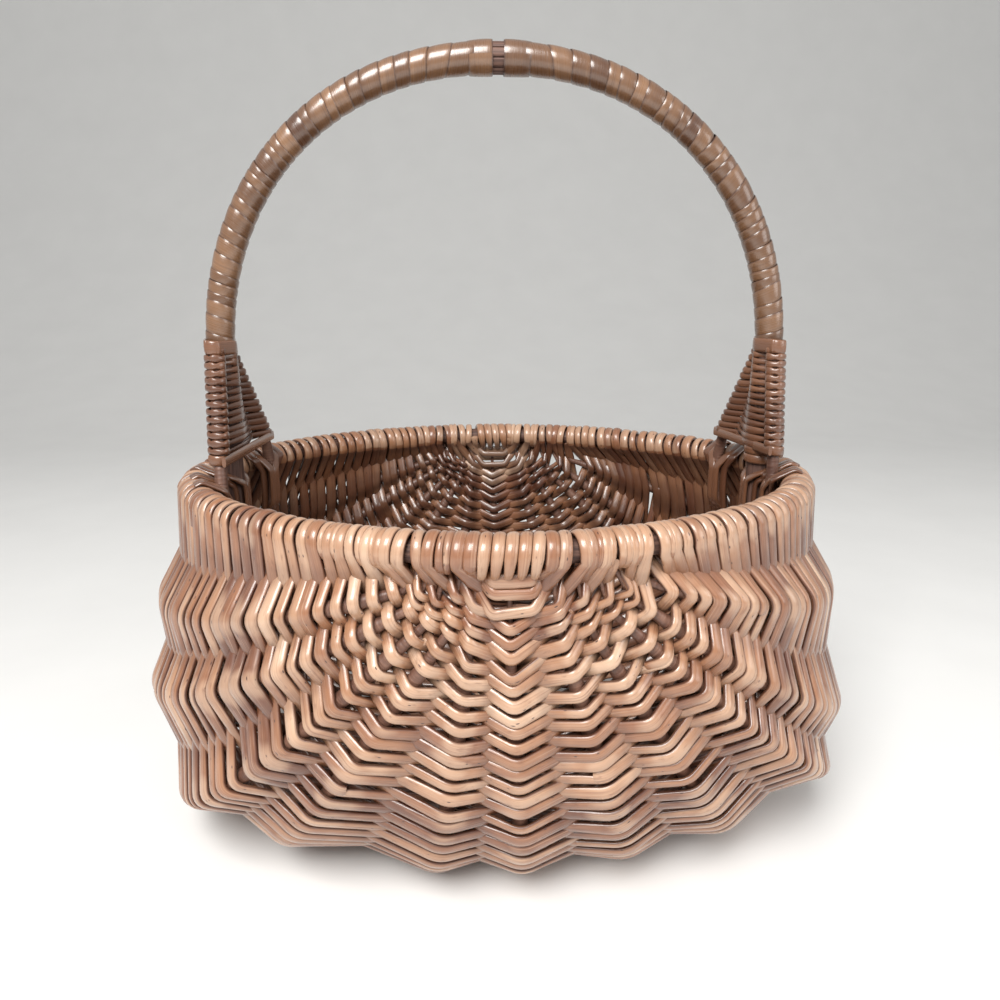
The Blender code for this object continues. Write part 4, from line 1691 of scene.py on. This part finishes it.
    def add_fillers(self, piece: Piece, track: Track) -> None:
        """Lays the short rods that run along the bow under the gap at its top.

        Args:
            piece: The bow's piece.
            track: The bow's middle.
        """
        reach = self.filler_reach * self.top_gap / track.length
        along = track.at(np.linspace(0.5 - reach, 0.5 + reach, self.filler_rings))
        last = self.filler_first + FULL_TURN
        angles = np.linspace(self.filler_first, last, self.filler_count, endpoint=False)
        for number, angle in enumerate(angles):
            spoke = np.array([0.0, -math.cos(angle), math.sin(angle)])
            middles = along + (self.bow_radius + 0.0001) * spoke
            wide = np.cross(spoke, [1.0, 0.0, 0.0])
            half_wide = self.filler_half_wide + 0.0003 * math.sin(2.3 * number)
            strand = Strand.plain(middles, wide, half_wide, self.filler_half_high)
            piece.add_strand(strand, 0.1 * number, 0.7 * number)

    def build(self, core: bpy.types.Material, skein: bpy.types.Material) -> None:
        """Makes the bow and both halves of its wrapping.

        Args:
            core: The bow's finish.
            skein: The wrapping's finish.
        """
        track = self.arch()
        middles = track.at(np.linspace(0.0, 1.0, self.bow_rings))
        piece = Piece("bare_handle_bow", sides=self.bow_sides)
        bow = Strand.plain(middles, (0.0, 1.0, 0.0), self.bow_radius, self.bow_radius)
        piece.add_strand(bow, 0.5, 0.5)
        self.add_fillers(piece, track)
        place_piece(piece.build(core), Slot.CORE, "handle_bow")
        self.skein(-1.0, "handle_skein_left", skein)
        self.skein(1.0, "handle_skein_right", skein)


@dataclass(frozen=True)
class Post:
    """What the binding goes round at one height: its middle in X and Y, and its radius."""

    middle: np.ndarray
    radius: float


@dataclass
class Foot:
    """One foot of the handle: two bark stakes, and rods woven round them and the leg."""

    wall: Wall
    side: float
    near_stake: float
    # Stakes
    far_stake: float = 0.052
    stake_radius: float = 0.0035
    stake_depth: float = 0.030
    stake_bend: float = 0.012
    stake_sides: int = 14
    stake_steps: int = 24
    stake_waves: float = 21.0
    stake_wave: float = 0.03
    head_below_top: float = 0.0023
    # Binding, above the rim
    start: float = 0.0200
    top: float = 0.0778
    rows: int = 28
    half_wide: float = 0.00215
    half_high: float = 0.00115
    rod_clearance: float = 0.0002
    rod_lift: float = 0.0003
    rod_sizes: Pair = (0.86, 1.22)
    size_knots: int = 12
    rod_shades: Pair = (0.25, 0.75)
    joins: int = 3
    join: float = 0.01
    corner_steps: int = 10
    squareness: float = 3.0
    # Single rods round the posts, and covers over the rim
    collar_half_wide: float = 0.0040
    base_half_wide: float = 0.0029
    leg_band_half_wide: float = 0.0027
    leg_bands: tuple[float, ...] = ()
    ring_rise: float = 0.0022
    cover_half_wide: float = 0.0027
    leg_depth: float = 0.045
    seed: int = 61

    @property
    def word(self) -> str:
        """The side's name."""
        return "left" if self.side < 0.0 else "right"

    @property
    def column(self) -> int:
        """The column of the rim's side that the foot stands inside."""
        return 0 if self.side < 0.0 else self.wall.last

    def station_at(self, y: float) -> float:
        """The station at which the rim passes a place from front to back."""
        stations = np.linspace(0.2, 0.8, 1201)
        depths = [self.wall.place(self.column, station)[1] for station in stations]
        return float(np.interp(y, depths, stations))

    def inset(self, radius: float) -> float:
        """How far inside the hoop a post of a radius stands."""
        return self.wall.sizes.lap_outer + self.wall.sizes.leg_clearance + radius

    def stake_points(self, y: float) -> np.ndarray:
        """The middle of a stake: its foot inside the rim, its bend, and its head at the leg.

        Args:
            y: Where the stake stands along the rim.

        Returns:
            The three points.
        """
        sizes = self.wall.sizes
        station = self.station_at(y)
        base = self.wall.place(self.column, station)
        base = base - self.inset(self.stake_radius) * self.wall.normal(self.column, station)
        beside = math.copysign(sizes.bow_radius + sizes.leg_clearance + self.stake_radius, y)
        top = sizes.rim_height + self.top - self.head_below_top
        head = (self.side * sizes.leg_place, beside, top)
        return np.array([base - self.stake_depth * UP, base + self.stake_bend * UP, head])

    def posts(self, height: float) -> list[Post]:
        """The near stake, the leg and the far stake at a height above the rim."""
        sizes = self.wall.sizes
        found = []
        for y in (-self.near_stake, self.far_stake):
            _, bend, head = self.stake_points(y)
            share = (sizes.rim_height + height - bend[2]) / (head[2] - bend[2])
            middle = bend + (head - bend) * min(max(share, 0.0), 1.0)
            found.append(Post(middle[:2], self.stake_radius))
        leg = Post(np.array([self.side * sizes.leg_place, 0.0]), sizes.bow_radius)
        return [found[0], leg, found[1]]

    def weave_points(self, chance: np.random.Generator) -> np.ndarray:
        """Points of the rod that runs there and back round the three posts."""
        corners = []
        rise = (self.top - self.start) / self.rows
        for row in range(self.rows):
            height = self.start + rise * row
            posts = self.posts(height)
            run = unit(posts[2].middle - posts[0].middle)
            outward = np.array([run[1], -run[0]]) * self.side
            outward = outward * np.sign(outward[0] * self.side)
            forward = row % 2 == 0
            order = (0, 1, 2) if forward else (2, 1, 0)
            for step, index in enumerate(order):
                face = 1.0 if (index != 1) is forward else -1.0
                reach = posts[index].radius + self.half_high + self.rod_clearance
                spot = posts[index].middle + face * reach * outward
                lift = rise * (step / 2.6) + chance.normal(0.0, self.rod_lift)
                corners.append((*spot, height + lift))
            last = posts[order[-1]]
            reach = last.radius + self.half_high
            end = last.middle + (1.0 if forward else -1.0) * reach * run
            corners.append((*end, height + 0.9 * rise))
        points = np.array(corners)
        points[:, 2] += self.wall.sizes.rim_height
        return points

    def rounded(self, corners: np.ndarray, steps: int) -> np.ndarray:
        """A smooth line through corners, with a number of steps from one to the next."""
        padded = with_ends(corners)
        parts = np.linspace(0.0, 1.0, steps, endpoint=False)[:, None]
        found = []
        for first, second, third, fourth in zip(padded, padded[1:], padded[2:], padded[3:]):
            ahead = 0.42 * (third - first)
            behind = 0.42 * (fourth - second)
            line = (2.0 * parts**3 - 3.0 * parts**2 + 1.0) * second
            line = line + (parts**3 - 2.0 * parts**2 + parts) * ahead
            line = line + (3.0 * parts**2 - 2.0 * parts**3) * third
            found.append(line + (parts**3 - parts**2) * behind)
        return np.concatenate(found + [corners[-1:]])

    def ring(self, height: float, half_wide: float, posts: list[Post]) -> Strand:
        """A rod that goes once round posts and a little further.

        Args:
            height: Where it begins above the rim.
            half_wide: Half its width.
            posts: What it goes round.

        Returns:
            The rod.
        """
        points = []
        for angle in np.linspace(0.0, 1.15 * FULL_TURN, 70)[::3]:
            heading = np.array([math.sin(angle), math.cos(angle)])
            aside = np.array([heading[1], -heading[0]])
            outmost = max(posts, key=lambda post: float(post.middle @ heading) + post.radius)
            reach = float(outmost.middle @ heading) + outmost.radius
            reach += self.half_high + self.rod_clearance
            spot = heading * reach + aside * float(outmost.middle @ aside)
            base = self.wall.sizes.rim_height + height
            points.append((*spot, base + self.ring_rise * angle / FULL_TURN))
        loop = self.rounded(np.array(points), 4)
        return Strand.plain(loop, UP, half_wide, 0.9 * self.half_high)

    def binding(self, finish: bpy.types.Material) -> None:
        """Weaves the binding, with a rod round its top, its foot and the leg below it."""
        chance = np.random.default_rng(self.seed + int(self.side))
        name = f"foot_binding_{self.word}"
        piece = Piece(f"woven_{name}", squareness=self.squareness)
        points = self.rounded(self.weave_points(chance), self.corner_steps)
        shares = np.linspace(0.0, 1.0, len(points))
        cuts = np.sort(chance.uniform(0.1, 0.9, self.joins))
        for low, high in zip((0.0, *cuts), (*cuts, 1.0)):
            chosen = points[(shares >= low - self.join) & (shares <= high + self.join)]
            count = len(chosen)
            knots = np.linspace(0.0, 1.0, self.size_knots)
            sizes = chance.uniform(*self.rod_sizes, self.size_knots)
            sizes = np.interp(np.linspace(0.0, 1.0, count), knots, sizes)
            beside = np.abs(np.cos(math.pi * np.arange(count) / self.corner_steps))
            half_wide = self.half_wide * sizes * (0.62 + 0.38 * beside)
            shade = float(chance.uniform(*self.rod_shades))
            rod = Strand.plain(chosen, UP, half_wide, self.half_high)
            piece.add_strand(rod, shade, float(chance.uniform()))
        rings = [(self.top + 0.0005, self.collar_half_wide, slice(0, 3))]
        rings += [(self.start - 0.0018, self.base_half_wide, slice(0, 3))]
        rings += [(height, self.leg_band_half_wide, slice(1, 2)) for height in self.leg_bands]
        for height, half_wide, chosen in rings:
            ring = self.ring(height, half_wide, self.posts(height)[chosen])
            piece.add_strand(ring, 0.3, float(chance.uniform()))
        for y in (-self.near_stake, 0.0, self.far_stake):
            self.add_covers(piece, y)
        place_piece(piece.build(finish), Slot.HANDLE, name)

    def add_covers(self, piece: Piece, y: float) -> None:
        """Laps rods over the rim on both sides of a post and across its inner face.

        Args:
            piece: The binding's piece.
            y: Where the post stands along the rim, 0 for the handle's leg.
        """
        at_leg = y == 0.0
        radius = self.wall.sizes.bow_radius if at_leg else self.stake_radius
        depth = self.leg_depth if at_leg else self.stake_depth
        narrowed = 1.0 if at_leg else 0.75
        station = self.station_at(y)
        hoop = self.wall.place(self.column, station)
        inward = -self.wall.normal(self.column, station)
        along = np.cross(UP, inward)
        inset = self.inset(radius)
        face = radius + self.half_high + 0.0003
        width = self.cover_half_wide
        for number, (beside, outer) in enumerate(((-1, 0), (1, 0), (-1, 1), (1, 1))):
            top = beside * (radius + width * (1.1 + 1.9 * outer) + 0.0003)
            foot = beside * width * (0.9 + 1.9 * outer) * narrowed
            mid = 0.5 * (top + foot)
            reach_mid, reach_foot = (
                inset + math.sqrt(max(face**2 - place**2, (0.2 * radius) ** 2))
                for place in (mid, foot)
            )
            points = (
                (top, -0.0010, 0.0088),
                (top, 0.0025, 0.0102),
                (top, 0.0072, 0.0080),
                (top, inset, 0.0040),
                (mid, reach_mid, 0.0000),
                (foot, reach_foot, -0.0055),
                (0.95 * foot, reach_foot, -0.5 * depth - 0.0040),
                (0.90 * foot, reach_foot - 0.0010, -0.9 * depth),
                (0.85 * foot, inset - 0.5 * radius, -depth - 0.0040),
            )
            line = [hoop + a * along + b * inward + c * UP for a, b, c in points]
            cover = Strand.plain(self.rounded(np.array(line), 6), along, width, self.half_high)
            piece.add_strand(cover, 0.35 + 0.12 * number, 0.3 * number)

    def build(self, bark: bpy.types.Material, binding: bpy.types.Material) -> None:
        """Makes the stakes and their binding.

        Args:
            bark: The stakes' finish.
            binding: The binding's finish.
        """
        for word, y in (("near", -self.near_stake), ("far", self.far_stake)):
            name = f"{word}_stake_{self.word}"
            middles = self.rounded(self.stake_points(y), self.stake_steps)
            waves = np.sin(np.linspace(0.0, self.stake_waves, len(middles)))
            radii = self.stake_radius * (1.0 + self.stake_wave * waves)
            piece = Piece(f"bark_{name}", sides=self.stake_sides)
            stake = Strand.plain(middles, (0.0, 1.0, 0.0), radii, radii)
            piece.add_strand(stake, 0.5, 0.1 * len(name))
            place_piece(piece.build(bark), Slot.RIB, name)
        self.binding(binding)


@dataclass(frozen=True)
class Lamp:
    """A square soft lamp: where it hangs, its side, its power in watts and its colour."""

    name: str
    place: Triple
    size: float
    power: float
    colour: Triple


@dataclass
class Studio:
    """The pale floor, the soft lamps and the camera at the photographed angle."""

    reach: float = 6.0
    sweep_start: float = 1.2
    sweep_radius: float = 1.6
    sweep_steps: int = 24
    world_colour: Triple = (1.0, 0.995, 0.985)
    world_strength: float = 0.50
    lamps: tuple[Lamp, ...] = (
        Lamp("key", (-0.35, -0.95, 1.25), size=0.75, power=31.0, colour=(1.0, 0.985, 0.965)),
        Lamp("fill", (1.2, -0.7, 0.7), size=0.8, power=6.0, colour=(1.0, 0.99, 0.98)),
    )
    lamp_target: Triple = (0.0, 0.0, 0.15)
    camera_place: Triple = (-0.0152, -0.4541, 0.3143)
    camera_pitch: float = 0.2584
    camera_yaw: float = 0.0358
    lens_share: float = 0.751
    sensor_mm: float = 36.0
    clip_start: float = 0.02

    def floor(self) -> None:
        """Lays the floor, which sweeps up behind the basket into a pale backdrop."""
        angles = np.linspace(0.0, 0.5 * math.pi, self.sweep_steps)
        bend_y = self.sweep_start + self.sweep_radius * np.sin(angles)
        bend_z = self.sweep_radius * (1.0 - np.cos(angles))
        y = np.concatenate([[-self.reach], bend_y, [bend_y[-1]]])
        z = np.concatenate([[0.0], bend_z, [self.reach]])
        points = [(x, *place) for place in zip(y, z) for x in (-self.reach, self.reach)]
        faces = [(2 * i, 2 * i + 1, 2 * i + 3, 2 * i + 2) for i in range(len(y) - 1)]
        mesh = bpy.data.meshes.new("floor")
        mesh.from_pydata(points, [], faces)
        mesh.shade_smooth()
        mesh.materials.append(FloorFinish().make())
        link_object("floor", mesh)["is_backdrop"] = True

    def world(self) -> None:
        """Sets an even pale surround."""
        world = bpy.data.worlds.new("studio")
        bpy.context.scene.world = world
        world.use_nodes = True
        shade = world.node_tree.nodes["Background"]
        shade.inputs["Color"].default_value = (*self.world_colour, 1.0)
        shade.inputs["Strength"].default_value = self.world_strength

    def hang(self, lamp: Lamp) -> None:
        """Hangs a lamp so that it faces the basket."""
        light = bpy.data.lights.new(lamp.name, "AREA")
        light.shape = "SQUARE"
        light.size = lamp.size
        light.energy = lamp.power
        light.color = lamp.colour
        made = link_object(lamp.name, light)
        made.location = lamp.place
        made.rotation_mode = "QUATERNION"
        heading = np.array(self.lamp_target) - np.array(lamp.place)
        made.rotation_quaternion = Vector(heading).to_track_quat("-Z", "Y")

    def camera(self) -> None:
        """Stands the camera where the photograph was taken from."""
        data = bpy.data.cameras.new("camera")
        data.sensor_width = self.sensor_mm
        data.lens = self.lens_share * data.sensor_width
        data.clip_start = self.clip_start
        camera = link_object("camera", data)
        camera.location = self.camera_place
        camera.rotation_euler = (0.5 * math.pi - self.camera_pitch, 0.0, -self.camera_yaw)
        bpy.context.scene.camera = camera

    def build(self) -> None:
        """Sets the whole studio."""
        self.floor()
        self.world()
        for lamp in self.lamps:
            self.hang(lamp)
        self.camera()
        bpy.context.scene.view_settings.view_transform = "Standard"


def write_sizes() -> None:
    """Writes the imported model's box and the dressed one's."""
    boxes = {"cad": CAD_BOX, "visual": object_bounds()}
    plain = {name: [list(corner) for corner in box] for name, box in boxes.items()}
    LOG.info("sizes: %s", plain)


def main() -> None:
    """Builds the basket and its studio."""
    logging.basicConfig(level=logging.INFO, format="%(name)s: %(message)s")
    wall = Wall(BasketSizes())
    willow = WillowFinish().make()
    bark = BarkFinish().make()
    skein = SkeinFinish().make()
    binding = BindingFinish().make()
    core = CoreFinish().make()
    Studio().build()
    Weave(wall).build(willow)
    Frame(wall).build(bark, core)
    Handle(wall).build(core, skein)
    Foot(wall, -1.0, near_stake=0.045).build(bark, binding)
    Foot(wall, 1.0, near_stake=0.024, leg_bands=(0.0095, 0.0150)).build(bark, binding)
    write_sizes()


if __name__ == "__main__":
    main()
